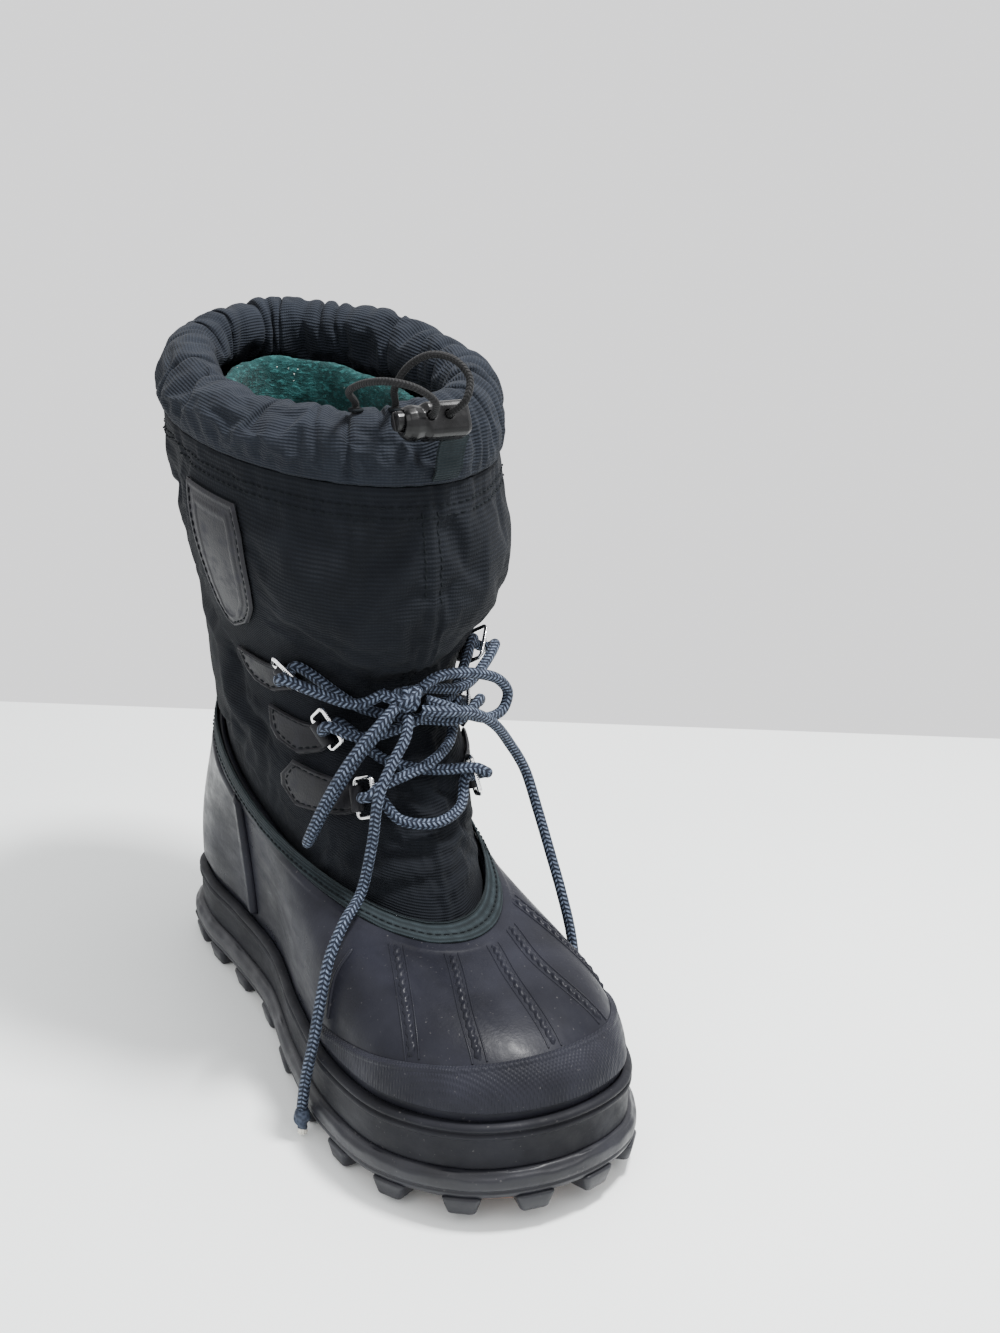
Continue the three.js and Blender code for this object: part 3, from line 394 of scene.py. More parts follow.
def turned(name, origin, axis, profile, sides=32):
    """A closed profile of (along, radius) turned round an axis."""
    axis = unit(np.asarray(axis, float))
    side = unit(np.cross(axis, (0.2, 0.3, 0.93)))
    other = np.cross(axis, side)
    angle = np.linspace(0, TURN, sides + 1)
    grid = np.array([
        [np.asarray(origin) + axis * a + r * (side * math.cos(w) + other * math.sin(w)) for w in angle]
        for a, r in [*profile, profile[0]]
    ])
    piece = skin(name, grid, (0.02, 0.02), close=True)
    edit(piece, ("normals_make_consistent", {"inside": False}))
    return piece


def copy_of(node, name):
    """A merged copy of a frame node's mesh."""
    piece = bpy.data.objects.new(name, NODES[node].data.copy())
    piece.data.materials.clear()
    bpy.context.scene.collection.objects.link(piece)
    edit(
        piece,
        ("remove_doubles", {"threshold": 1e-6}),
        ("tris_convert_to_quads", {"face_threshold": 1.2, "shape_threshold": 1.2}),
    )
    if piece.data.has_custom_normals:
        activate(piece)
        bpy.ops.mesh.customdata_custom_splitnormals_clear()
    return piece


def joined(name, pieces):
    activate(pieces[0])
    for piece in pieces:
        piece.select_set(True)
    bpy.ops.object.join()
    pieces[0].name = pieces[0].data.name = name
    return pieces[0]


def done(piece, material, body="boot", stands_for=(), angle=None):
    """Finishes a piece: material, shading, body, and hides the frame nodes that it stands for."""
    if not hasattr(piece.data, "materials") or not len(piece.data.materials):
        piece.data.materials.append(material)
    activate(piece)
    if angle:
        bpy.ops.object.shade_smooth_by_angle(angle=math.radians(angle))
    else:
        bpy.ops.object.shade_smooth()
    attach(piece, body)
    if stands_for:
        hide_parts(*stands_for)
    return piece


CLOTH_FRAMES = 14


def settle(piece, held, growth, pressure, cap):
    """Lets a fabric skin that is cut too big buckle between its sewn lines, and keeps the result."""
    before = places_of(piece)
    group = piece.vertex_groups.new(name="sewn")
    for index, weight in enumerate(held):
        if weight > 0.02:
            group.add([index], float(weight), "REPLACE")
    modifier = piece.modifiers.new("Cloth", "CLOTH")
    cloth = modifier.settings
    cloth.quality = 5
    cloth.mass = 0.3
    cloth.vertex_group_mass = "sewn"
    cloth.shrink_min = -growth
    cloth.use_pressure = True
    cloth.uniform_pressure_force = pressure
    cloth.bending_stiffness = 0.4
    cloth.effector_weights.gravity = 0
    modifier.collision_settings.use_collision = False
    modifier.point_cache.frame_start = 1
    modifier.point_cache.frame_end = CLOTH_FRAMES
    for number in range(1, CLOTH_FRAMES + 1):
        bpy.context.scene.frame_set(number)
    graph = bpy.context.evaluated_depsgraph_get()
    result = piece.evaluated_get(graph).to_mesh()
    flat = np.empty(len(result.vertices) * 3)
    result.vertices.foreach_get("co", flat)
    after = flat.reshape(-1, 3) / MM
    piece.evaluated_get(graph).to_mesh_clear()
    piece.modifiers.remove(modifier)
    bpy.context.scene.frame_set(1)
    moved = np.nan_to_num(after - before)
    far = np.linalg.norm(moved, axis=1, keepdims=True)
    place(piece, before + moved * np.minimum(1, cap / np.maximum(far, 1e-6)))


# ---- Materials ----
# The Scale of a wave texture whose bands are one unit apart.
WAVE_SCALE = TURN / 20


class Finish:
    """A material built up from named nodes."""

    def __init__(self, name, colour, roughness, metallic=0.0, **sockets):
        self.material = bpy.data.materials.new(name)
        self.material.use_nodes = True
        self.tree = self.material.node_tree
        self.shader = self.tree.nodes["Principled BSDF"]
        self.colour = (*colour[:3], 1)
        self.shader.inputs["Base Color"].default_value = self.colour
        self.shader.inputs["Roughness"].default_value = roughness
        self.shader.inputs["Metallic"].default_value = metallic
        for key, value in sockets.items():
            self.shader.inputs[key.replace("_", " ").title().replace("Ior", "IOR")].default_value = value

    def add(self, kind, inputs=None, **settings):
        node = self.tree.nodes.new("ShaderNode" + kind)
        for key, value in settings.items():
            setattr(node, key, value)
        for key, value in (inputs or {}).items():
            socket = node.inputs[key]
            if isinstance(value, bpy.types.NodeSocket):
                self.tree.links.new(value, socket)
            else:
                socket.default_value = value
        return node

    def space(self, kind="Object", scale=(1, 1, 1), turn=0.0):
        source = self.add("TexCoord").outputs[kind]
        inputs = {"Vector": source, "Scale": scale, "Rotation": (0, 0, turn)}
        return self.add("Mapping", inputs).outputs[0]

    def noise(self, size, vector=None, detail=3.0, roughness=0.5):
        inputs = {"Scale": 1 / size, "Detail": detail, "Roughness": roughness}
        inputs["Vector"] = vector or self.space()
        return self.add("TexNoise", inputs).outputs[0]

    def waves(self, period, vector, axis="X", distortion=0.0, profile="SIN"):
        scale = WAVE_SCALE / period
        inputs = {"Vector": vector, "Scale": scale, "Distortion": distortion, "Detail Scale": 1.5}
        settings = {"wave_type": "BANDS", "bands_direction": axis, "wave_profile": profile}
        return self.add("TexWave", inputs, **settings).outputs[1]

    def sum(self, operation, a, b):
        return self.add("Math", {0: a, 1: b}, operation=operation).outputs[0]

    def spread(self, value, low, high, to_low=0.0, to_high=1.0):
        inputs = {0: value, 1: low, 2: high, 3: to_low, 4: to_high}
        return self.add("MapRange", inputs).outputs[0]

    def blend(self, share, a, b):
        node = self.add("Mix", {0: share, 6: a, 7: b}, data_type="RGBA")
        return node.outputs[2]

    def paint(self, socket, value):
        self.tree.links.new(value, self.shader.inputs[socket])

    def bump(self, height, depth, strength=1.0):
        inputs = {"Height": height, "Distance": depth, "Strength": strength}
        present = self.shader.inputs["Normal"].links
        if present:
            inputs["Normal"] = present[0].from_socket
        node = self.add("Bump", inputs)
        self.paint("Normal", node.outputs[0])


def shade(colour, factor):
    return (*(min(1.0, c * factor) for c in colour[:3]), 1)


def rubber_finish(name, colour, roughness, dust=0.5, knurl=0.0, gloss=0.42):
    """Moulded rubber with dust, scuffs and small dents."""
    look = Finish(name, colour, roughness, specular_ior_level=gloss)
    cloudy = look.spread(look.noise(0.03, detail=5), 0.35, 0.7)
    speck = look.spread(look.noise(0.0016, detail=2), 0.7, 0.76)
    base = look.blend(cloudy, shade(colour, 0.72), shade(colour, 1.35))
    dusty = look.blend(look.sum("MULTIPLY", speck, 0.35 * dust), base, (0.22, 0.21, 0.2, 1))
    look.paint("Base Color", dusty)
    scuff = look.noise(0.008, look.space(scale=(1, 0.25, 1), turn=0.5), detail=6, roughness=0.65)
    look.paint("Roughness", look.spread(scuff, 0.3, 0.75, roughness - 0.1, roughness + 0.2))
    look.bump(look.noise(0.0012, detail=2), 0.00012, 0.5)
    look.bump(look.noise(0.012, detail=2), 0.0005, 0.35)
    if knurl:
        one = look.waves(knurl, look.space(turn=0.7), "X")
        two = look.waves(knurl, look.space(turn=-0.7), "X")
        look.bump(look.sum("MULTIPLY", one, two), 0.00035, 0.7)
    return look.material


def woven_finish(name, colour, pitch, depth, light=2.2, sheen=0.04, ribs=0.4):
    """Coarse woven fabric on the piece's own UVs, ribbed across."""
    look = Finish(name, colour, 0.85, sheen_weight=sheen, specular_ior_level=0.12)
    flat = look.space("UV")
    wander = look.noise(pitch * 4, flat, detail=1)
    weft = look.waves(pitch, flat, "Y", 0.6)
    warp = look.waves(pitch, flat, "X", 0.6)
    cells = look.sum("MULTIPLY", weft, look.spread(warp, 0, 1, 1 - ribs, 1))
    cloud = look.spread(look.noise(0.02, detail=4), 0.3, 0.75)
    base = look.blend(cloud, shade(colour, 0.75), shade(colour, 1.3))
    fibre = look.sum("MULTIPLY", cells, look.spread(wander, 0.3, 0.8, 0.35, 0.9))
    look.paint("Base Color", look.blend(fibre, base, shade(colour, light)))
    look.bump(cells, depth, 0.9)
    look.bump(look.noise(pitch * 0.35, flat, detail=1), depth * 0.4, 0.4)
    return look.material


def braid_finish(name, colour, fleck, columns, pitch, depth=0.0004):
    """Braided cord: slanted stitches in columns that lean left and right by turns."""
    look = Finish(name, colour, 0.7, sheen_weight=0.02, specular_ior_level=0.2)
    uv = look.add("SeparateXYZ", {0: look.space("UV")})
    round_, along = (look.sum("MULTIPLY", uv.outputs[k], s) for k, s in ((0, columns), (1, TURN / pitch)))
    lean = look.sum("ARCSINE", look.sum("SINE", round_, 0.0), 0.0)
    slanted = look.sum("SINE", look.sum("ADD", along, look.sum("MULTIPLY", lean, 1.5)), 0.0)
    column = look.sum("POWER", look.sum("ABSOLUTE", look.sum("COSINE", round_, 0.0), 0.0), 0.5)
    stitch = look.sum("MULTIPLY", look.spread(slanted, -0.25, 0.45), look.spread(column, 0.25, 0.7))
    light = look.spread(look.noise(0.0016, detail=1), 0.36, 0.6, 0.3, 1)
    look.paint("Base Color", look.blend(look.sum("MULTIPLY", stitch, light), colour, fleck))
    look.bump(look.sum("MULTIPLY", look.spread(slanted, -1, 0.6), column), depth, 1.0)
    look.bump(look.noise(0.0004, detail=1), depth * 0.3, 0.4)
    return look.material


def leather_finish(name, colour, roughness=0.5):
    """Coated leather: fine pebbled grain with rubbed high places."""
    look = Finish(name, colour, roughness, specular_ior_level=0.2)
    grain = look.add("TexVoronoi", {"Vector": look.space(), "Scale": 1100.0}).outputs[0]
    worn = look.spread(look.noise(0.006, detail=5), 0.5, 0.75)
    look.paint("Base Color", look.blend(worn, colour, shade(colour, 2.1)))
    look.paint("Roughness", look.spread(worn, 0, 1, roughness - 0.05, roughness + 0.2))
    look.bump(grain, 0.00015, 0.5)
    return look.material


def curly_felt_finish(name, colour, pale):
    """Felt with curled wool fibres, mostly lying across, and a few pale bits."""
    look = Finish(name, colour, 1.0, sheen_weight=0.05, specular_ior_level=0.1)
    lying = look.space(scale=(1, 1, 2.2))
    fibre = look.noise(0.0035, lying, detail=6, roughness=0.7)
    cloud = look.noise(0.012, detail=3)
    base = look.blend(look.spread(cloud, 0.3, 0.7), shade(colour, 0.6), shade(colour, 1.3))
    curl = look.blend(look.spread(fibre, 0.5, 0.68), base, pale)
    bits = look.spread(look.noise(0.0022, detail=2), 0.74, 0.78)
    look.paint("Base Color", look.blend(bits, curl, (0.55, 0.6, 0.55, 1)))
    look.bump(fibre, 0.0016, 1.0)
    look.bump(look.noise(0.0009, detail=3), 0.0005, 0.8)
    return look.material


def plain_finish(name, colour, roughness, metallic=0.0, size=0.004, depth=0.0001, gloss=0.5):
    """A hard or pressed surface with slight unevenness in colour and gloss."""
    look = Finish(name, colour, roughness, metallic, specular_ior_level=gloss)
    patch = look.noise(size, detail=4)
    cloud = look.spread(patch, 0.3, 0.75)
    look.paint("Base Color", look.blend(cloud, shade(colour, 0.75), shade(colour, 1.2)))
    look.paint("Roughness", look.spread(patch, 0.3, 0.8, max(0.05, roughness - 0.08), roughness + 0.12))
    look.bump(patch, depth, 0.5)
    return look.material


MATERIALS = {}


def materials(context):
    """Every finish, made once from the colours in the panel."""
    if MATERIALS:
        return MATERIALS
    tint = context.scene.boot_colours
    pitch = context.scene.boot_sizes.weave_pitch
    MATERIALS.update(
        rubber=rubber_finish("satin_rubber", tint.rubber, 0.33, gloss=0.08),
        foxing=rubber_finish("foxing_rubber", shade(tint.rubber, 0.65), 0.55, gloss=0.14),
        cap=rubber_finish("knurled_rubber", shade(tint.rubber, 1.15), 0.5, knurl=0.0013, gloss=0.1),
        bumper=rubber_finish("bumper_rubber", shade(tint.rubber, 0.85), 0.42, gloss=0.3),
        gum=rubber_finish("gum_rubber", tint.gum, 0.7, dust=1.0),
        nylon=woven_finish("shaft_nylon", tint.nylon, pitch * 0.8, 0.0003, light=1.9, sheen=0.008),
        # Painted light: the collar is the shaft's nylon painted 2.1 times lighter, standing in for the light
        # on its upward-facing crest.
        collar=woven_finish("collar_nylon_painted_lit", shade(tint.nylon, 2.1), pitch, 0.0004, light=2.1, sheen=0.02),
        tape=woven_finish("grosgrain_tape", tint.tape, 0.0016, 0.0004, light=2.8, ribs=0.2, sheen=0.02),
        felt=curly_felt_finish("green_felt", tint.felt, shade(tint.felt, 3.2)),
        lace=braid_finish("lace_braid", tint.lace, tint.lace_fleck, 3 * 2 / 0.0048, 0.0021, 0.0005),
        elastic=braid_finish(
            "elastic_braid", (0.002, 0.002, 0.0023, 1), (0.009, 0.009, 0.01, 1), 2 * 2 / 0.003, 0.0014, 0.0002
        ),
        leather=leather_finish("tab_leather", tint.leather),
        patch=leather_finish("patch_leather", shade(tint.leather, 1.3), 0.5),
        chrome=plain_finish("chromed_wire", (0.93, 0.93, 0.94), 0.13, 1.0, 0.002, 0.00005),
        plastic=plain_finish("lock_plastic", (0.003, 0.003, 0.0034), 0.3, 0.0, 0.003, 0.00008, gloss=0.25),
        steel=plain_finish("spring_steel", (0.45, 0.45, 0.46), 0.3, 1.0),
        board=plain_finish("fibreboard", (0.25, 0.18, 0.11), 0.9, 0.0, 0.002, 0.0003),
        grey_felt=curly_felt_finish("grey_felt", (0.15, 0.15, 0.14, 1), (0.4, 0.4, 0.38, 1)),
        thread=plain_finish("dark_thread", (0.006, 0.0075, 0.009), 0.9, 0.0, 0.001, gloss=0.1),
        frayed=plain_finish("frayed_end", (0.6, 0.58, 0.52), 0.9, 0.0, 0.0006, 0.0004),
    )
    return MATERIALS


# ---- Sizes and colours ----
def length(name, description, default):
    return bpy.props.FloatProperty(
        name=name, description=description, default=default, unit="LENGTH", precision=4
    )


def colour(name, description, default):
    return bpy.props.FloatVectorProperty(
        name=name, description=description, default=(*default, 1), size=4, subtype="COLOR", min=0, max=1
    )


class BootSizes(bpy.types.PropertyGroup):
    """Sizes of the boot's soft and moulded detail."""

    lace_diameter: length("Lace Diameter", "Thickness of the round lace", 0.0048)
    cord_diameter: length("Drawcord Diameter", "Thickness of the elastic drawcord", 0.003)
    weave_pitch: length("Weave Pitch", "Width of one cell of the collar's weave", 0.0015)
    crease_depth: length("Crease Depth", "Depth of the collar's gathers", 0.0034)
    fold_depth: length("Fold Depth", "Depth of the shaft's folds", 0.0022)
    rib_width: length("Rope Rib Width", "Width of the ribs moulded on the toe", 0.0041)
    stitch: length("Stitch Length", "Length of one stitch", 0.0027)


class BootColours(bpy.types.PropertyGroup):
    """Colours of the boot's materials."""

    rubber: colour("Rubber", "Galosh and foxing", (0.0122, 0.0126, 0.0172))
    gum: colour("Gum Rubber", "Tread", (0.16, 0.09, 0.065))
    nylon: colour("Nylon", "Shaft and collar", (0.0038, 0.0047, 0.0066))
    tape: colour("Tape", "Binding and lock tab", (0.0085, 0.0118, 0.0135))
    felt: colour("Felt", "Inner boot", (0.0095, 0.037, 0.037))
    lace: colour("Lace", "Lace's ground", (0.0032, 0.006, 0.014))
    lace_fleck: colour("Lace Fleck", "Lace's paler strands", (0.115, 0.145, 0.205))
    leather: colour("Leather", "Tabs and patch", (0.0062, 0.0062, 0.0082))


class BootOperator(bpy.types.Operator):
    """Shared by the boot's operators."""

    bl_options = {"REGISTER", "UNDO"}


# ---- Stage ----
# The camera's azimuth, elevation and roll in degrees, its place in metres and its lens in millimetres.
CAMERA_ANGLES, CAMERA_PLACE, CAMERA_LENS = (-31.12, 18.98, 1.35), (-0.3033, -0.6008, 0.4145), 43.2
# Two places on the line where the floor meets the wall, and the floor's height and reach, in millimetres.
FLOOR_EDGE, FLOOR_Z, FLOOR_REACH = ((14, 489), (499, 170)), -0.02, 6000
WALL_COLOUR, WALL_STRENGTH = (0.8, 0.8, 0.81, 1), 1.8
# Each light's place and size in metres and its power in watts, and the place that all are aimed at.
LIGHTS = (
    ("key", (0.24, -0.22, 1.12), 0.16, 27),
    ("fill", (-1.0, -0.5, 1.0), 0.7, 4),
    ("front", (0.3, -1.1, 1.3), 0.7, 4),
)
LIGHTS_AIM = (0, -0.03, 0.15)


class BOOT_OT_stage(BootOperator):
    """Add the pale floor, the soft lights and the camera"""

    bl_idname = "boot.stage"
    bl_label = "Stage"

    def execute(self, context):
        azimuth, elevation, roll = (math.radians(angle) for angle in CAMERA_ANGLES)
        level = Vector((math.sin(azimuth), -math.cos(azimuth), 0))
        back = level * math.cos(elevation) + Vector((0, 0, math.sin(elevation)))
        right = Vector((math.cos(azimuth), math.sin(azimuth), 0))
        up = back.cross(right)
        camera = bpy.data.objects.new("camera", bpy.data.cameras.new("camera"))
        context.scene.collection.objects.link(camera)
        across = right * math.cos(roll) + up * math.sin(roll)
        upward = up * math.cos(roll) - right * math.sin(roll)
        axes = Matrix((across, upward, back)).transposed()
        camera.matrix_world = Matrix.Translation(CAMERA_PLACE) @ axes.to_4x4()
        camera.data.sensor_width = 36
        camera.data.lens = CAMERA_LENS
        camera.data.clip_start = 0.01
        context.scene.camera = camera

        along = unit(np.subtract(FLOOR_EDGE[1], FLOOR_EDGE[0]).astype(float))
        toward = np.array([along[1], -along[0]])
        middle = np.mean(FLOOR_EDGE, axis=0)
        grid = np.array([
            [[*(middle + along * a + toward * b), FLOOR_Z] for a in (-FLOOR_REACH, FLOOR_REACH)]
            for b in (FLOOR_REACH, 0)
        ])
        floor = skin("floor", grid, (6, 6))
        edit(floor, ("subdivide", {"number_cuts": 8}))
        look = Finish("pale_floor", (0.88, 0.9, 0.89), 0.55)
        cloud = look.spread(look.noise(0.35, detail=3), 0.35, 0.7)
        look.paint("Base Color", look.blend(cloud, (0.85, 0.88, 0.87, 1), (0.9, 0.92, 0.91, 1)))
        floor.data.materials.append(look.material)

        world = bpy.data.worlds.new("studio")
        world.use_nodes = True
        background = world.node_tree.nodes["Background"]
        background.inputs["Color"].default_value = WALL_COLOUR
        background.inputs["Strength"].default_value = WALL_STRENGTH
        context.scene.world = world
        for name, spot, size, power in LIGHTS:
            light = bpy.data.lights.new(name, "AREA")
            light.size, light.energy = size, power
            item = bpy.data.objects.new(name, light)
            item.location = spot
            aim = Vector(LIGHTS_AIM) - Vector(spot)
            item.rotation_euler = aim.to_track_quat("-Z", "Y").to_euler()
            context.scene.collection.objects.link(item)
        return {"FINISHED"}


# ---- Lace tabs' own directions ----
def tab_frame(site, side):
    """Where a tab sits on the shaft: side is -1 on the outer side and 1 on the inner."""
    def on_side(pair):
        return np.array([pair[0] if side < 0 else 1 - pair[0], pair[1]])

    low, high = on_side(site["low"]), on_side(site["high"])
    turn, level = (low + high) / 2
    middle = shaft(turn, level)
    out = outward(shaft, turn, level)
    along = unit(shaft(*low) - shaft(*high))
    along = unit(along - out * along.dot(out))
    ahead = np.cross(out, along)
    if ahead[1] > 0:
        ahead = -ahead
    step = 0.004
    per_turn = (shaft(turn + step, level) - shaft(turn - step, level)) / (2 * step)
    per_level = (shaft(turn, level + step) - shaft(turn, level - step)) / (2 * step)
    return {
        "turn": turn, "level": level, "along": along, "ahead": ahead, "out": out,
        "per_turn": per_turn, "per_level": per_level, "bar": middle + out * FOLD_HEIGHT,
    }


def beside_tab(tab, a, b, height):
    """Places on the shaft a along and b ahead of a tab's middle, raised off the fabric."""
    a, b = np.broadcast_arrays(np.asarray(a, float), np.asarray(b, float))
    move = a[..., None] * tab["along"] + b[..., None] * tab["ahead"]
    basis = np.stack([tab["per_turn"], tab["per_level"]])
    share = move @ basis.T @ np.linalg.inv(basis @ basis.T)
    return raised(shaft, tab["turn"] + share[..., 0], tab["level"] + share[..., 1], height)


TABS = {(side, k): tab_frame(site, side) for side in (-1, 1) for k, site in enumerate(TAB_SITES)}


def tab_label(side, k):
    return f"{'lateral' if side < 0 else 'medial'}_{k + 1}"


def ring_ahead(tab):
    return tab["ahead"] * math.cos(RING_TILT) + tab["out"] * math.sin(RING_TILT)


# ---- Lace ----
LATERAL_LOOP = (
    (-14.4, -36, 176.4), (-20, -36.5, 169), (-28, -33, 158), (-36.5, -28, 142), (-41.5, -21.5, 127.5),
    (-45, -20, 119.5), (-50, -25, 118), (-51, -31, 125), (-46, -37, 142), (-37, -41, 159), (-25, -42, 172),
    (-15.6, -41, 179.6),
)
MEDIAL_LOOP = (
    (-0.9, -36, 184), (7, -34.5, 187), (18, -33.5, 187), (31, -32.5, 184), (41, -30.5, 179), (46, -29.5, 172),
    (43, -30.5, 165), (34, -33, 163.5), (22, -36, 168), (11, -38.5, 174), (0.4, -38, 178.8),
)
LATERAL_END = (
    (-8.5, -38.1, 173.2), (-11.5, -42, 166), (-19.5, -45, 156), (-27, -48, 145), (-30, -46.5, 121),
    (-35, -45.5, 99), (-46.5, -53, 91.5), (-56.5, -59.5, 80), (-62, -63, 65), (-66.3, -64.5, 47),
    (-70, -63.5, 28), (-71.3, -62.5, 15),
)
MEDIAL_END = (
    (-3.4, -41, 175.7), (6, -45, 175), (18, -43.5, 172.5), (33, -39, 163), (45.5, -33, 149), (56, -30, 133),
    (61, -33, 115), (63.5, -41, 96), (65.5, -49, 78), (67.5, -55, 60), (69, -58, 42), (70.5, -59, 24),
    (70.8, -59, 15),
)
KNOT = np.array([-8, -36, 180.0])
KNOT_LEFT, KNOT_RIGHT = (-17, -32, 182.5), (1.5, -31, 182)


def lacing_route():
    """The lace from the knot down through the outer rings, across the foot and up the inner ones."""
    def round_bar(side, k):
        tab = TABS[side, k]
        bar = tab["bar"] + ring_ahead(tab) * RING_DEPTH
        shares = np.array([0, 0.125, 0.25, 0.375, 0.5]) * TURN
        return [
            bar - LACE_TURN * (tab["ahead"] * math.sin(w) + tab["out"] * math.cos(w)) for w in shares
        ]

    def across(rows, mirrored=False):
        return [raised(shaft, 1 - t if mirrored else t, level, height) for t, level, height in rows]

    foot = ((0.455, 0.36, 4.2), (0.5, 0.35, 4.2), (0.545, 0.36, 4.2))
    low_under = ((0.44, 0.405, 14), (0.475, 0.43, 6.5), (0.505, 0.445, 4.2), (0.545, 0.465, 4.2))
    low_over = ((0.44, 0.405, 14), (0.475, 0.43, 11), (0.505, 0.445, 9.6), (0.55, 0.47, 6.2))
    high_under = ((0.44, 0.515, 11), (0.475, 0.54, 5.5), (0.51, 0.56, 4.2), (0.56, 0.59, 4.2))
    high_over = ((0.44, 0.515, 12), (0.5, 0.555, 9.6), (0.56, 0.59, 6.5))
    to_knot = ((0.44, 0.64, 12),)
    outer = [
        *round_bar(-1, 0), *across(low_over), *round_bar(1, 1), *across(high_under, True),
        *round_bar(-1, 2), *across(to_knot), np.array(KNOT_LEFT),
    ]
    inner = [
        *round_bar(1, 0), *across(low_under, True), *round_bar(-1, 1), *across(high_over),
        *round_bar(1, 2), *across(to_knot, True), np.array(KNOT_RIGHT),
    ]
    return np.array([*reversed(outer), *across(foot), *inner])


class BOOT_OT_lace(BootOperator):
    """Add the lace, its bow, its hanging ends and the knots on their tips"""

    bl_idname = "boot.lace"
    bl_label = "Lace"

    def execute(self, context):
        look = materials(context)
        diameter = context.scene.boot_sizes.lace_diameter
        radius = diameter / 2 / MM

        def cord(name, knots, node, **facts):
            line = smooth_line(knots, 0.8)
            piece = swept(name, line, radius, 16)
            done(piece, look["lace"], stands_for=(node,))
            round(length_of(line) * MM, 3)
            return piece

        knot = self.bow(look, radius)
        cord("lace", lacing_route(), "lacing", far_end="object", lay="taut", with_pieces=[knot])
        cord("bow_outer", LATERAL_LOOP, "bow_loop_lateral", far_end="object", lay="hanging")
        cord("bow_inner", MEDIAL_LOOP, "bow_loop_medial", far_end="object", lay="hanging")
        for side, route in (("lateral", LATERAL_END), ("medial", MEDIAL_END)):
            tip = copy_of(f"lace_tip_{side}", f"tip_knot_{side}")
            subdivide(tip, 3)
            at = places_of(tip)
            centre = np.array(route[-1]) - (0, 0, 6)
            angle = np.arctan2(at[:, 1] - centre[1], at[:, 0] - centre[0])
            wave = np.cos(2 * angle + (at[:, 2] - centre[2]) * 1.1)
            bulge = np.exp(-(((at[:, 2] - centre[2] + 1.2) / 3.2) ** 2))
            place(tip, at + unit((at - centre) * (1, 1, 0)) * (0.5 * wave * bulge)[:, None])
            edit(tip, ("normals_make_consistent", {"inside": False}))
            done(tip, look["lace"], stands_for=(f"lace_tip_{side}",))
            foot = np.array(route[-1]) - (0, 0, 11.2)
            frayed = swept(
                f"frayed_end_{side}", np.linspace(foot + (0, 0, 1.2), foot - (0, 0, 1.4), 8),
                lambda angle, run: 1.9 + 0.35 * np.sin(9 * angle) * (run / 2.6), 36,
            )
            done(frayed, look["frayed"])
            cord(
                f"lace_hanging_{side}", route, f"lace_end_{side}", far_end="knot", lay="hanging",
                with_pieces=[tip, frayed],
            )
        return {"FINISHED"}

    def bow(self, look, radius):
        """Two turns round the bow's waist and the strand that crosses them."""
        turns = np.linspace(0, 2.2, 60)
        helix = np.stack([
            KNOT[0] - 3.6 + 3.3 * turns,
            KNOT[1] + 3.2 * np.sin(TURN * turns),
            KNOT[2] + 3.4 * np.cos(TURN * turns),
        ], -1)
        wrap = swept("bow_wrap", smooth_line(helix[::4], 0.6), radius, 16)
        slant = KNOT + np.array([
            (-6, 1.5, -2.5), (-3.5, -2.4, -0.5), (0, -3.1, 1.2), (3.5, -2, 2.6), (6.2, 1.8, 3),
        ])
        cross = swept("bow_cross", smooth_line(slant, 0.6), radius, 16)
        heart = KNOT + np.array([(-10, 4.2, 2.6), (-5.4, 1, 0.8), (0, 0, 0), (5.2, 1.6, 0.8), (10, 5.2, 2)])
        core = swept("bow_core", smooth_line(heart, 0.6), radius * 1.1, 16)
        knot = joined("bow_knot_wrap", [wrap, cross, core])
        return done(knot, look["lace"], stands_for=("bow_knot",))


# ---- Drawcord ----
LATERAL_ARC = ((-11.5, -65, 311), (-18, -63.5, 316), (-25.5, -55, 318), (-30.5, -43, 316), (-31.5, -31, 311))
MEDIAL_ARC = (
    (1.5, -66, 311), (4, -64, 319), (0, -59, 325.5), (-7, -53, 327), (-13, -46, 322), (-15, -38.5, 313),
)
EYELETS = {"lateral": 0.43, "medial": 0.473}


def lock_point(x, y):
    return np.array([
        LOCK_PLACE[0] + x, LOCK_PLACE[1] + y * math.cos(LOCK_TILT), LOCK_PLACE[2] - y * math.sin(LOCK_TILT)
    ])


class BOOT_OT_drawcord(BootOperator):
    """Add both runs of the drawcord, their knots and the stitched eyelets"""

    bl_idname = "boot.drawcord"
    bl_label = "Drawcord"

    def execute(self, context):
        look = materials(context)
        diameter = context.scene.boot_sizes.cord_diameter
        for side, hole, arc in (("lateral", -4, LATERAL_ARC), ("medial", 4, MEDIAL_ARC)):
            knot = copy_of(f"drawcord_knot_{side}", f"cord_knot_{side}")
            subdivide(knot, 2)
            done(knot, look["elastic"], stands_for=(f"drawcord_knot_{side}",))
            top = collar(EYELETS[side], 10.5, COLLAR_HEIGHT)
            route = np.array([
                lock_point(hole, 8.2), lock_point(hole, 0), lock_point(hole, -8), *arc,
                top + (0, 0, 3), top, top - (0, 0, 8.5),
            ])
            line = smooth_line(route, 0.7)
            piece = swept(f"cord_{side}", line, diameter / 2 / MM, 12)
            done(piece, look["elastic"], stands_for=(f"drawcord_{side}",))
            round(length_of(line) * MM, 3)
            angle = np.linspace(0, TURN, 41)
            ring = top + np.stack([2.5 * np.cos(angle), 2.5 * np.sin(angle), 0.6 + 0 * angle], -1)
            eyelet = swept(
                f"eyelet_{side}", ring, lambda angle, run: 0.7 + 0.12 * np.sin(run * 9) + 0 * angle, 8,
                closed=True,
            )
            done(eyelet, look["thread"])
        return {"FINISHED"}


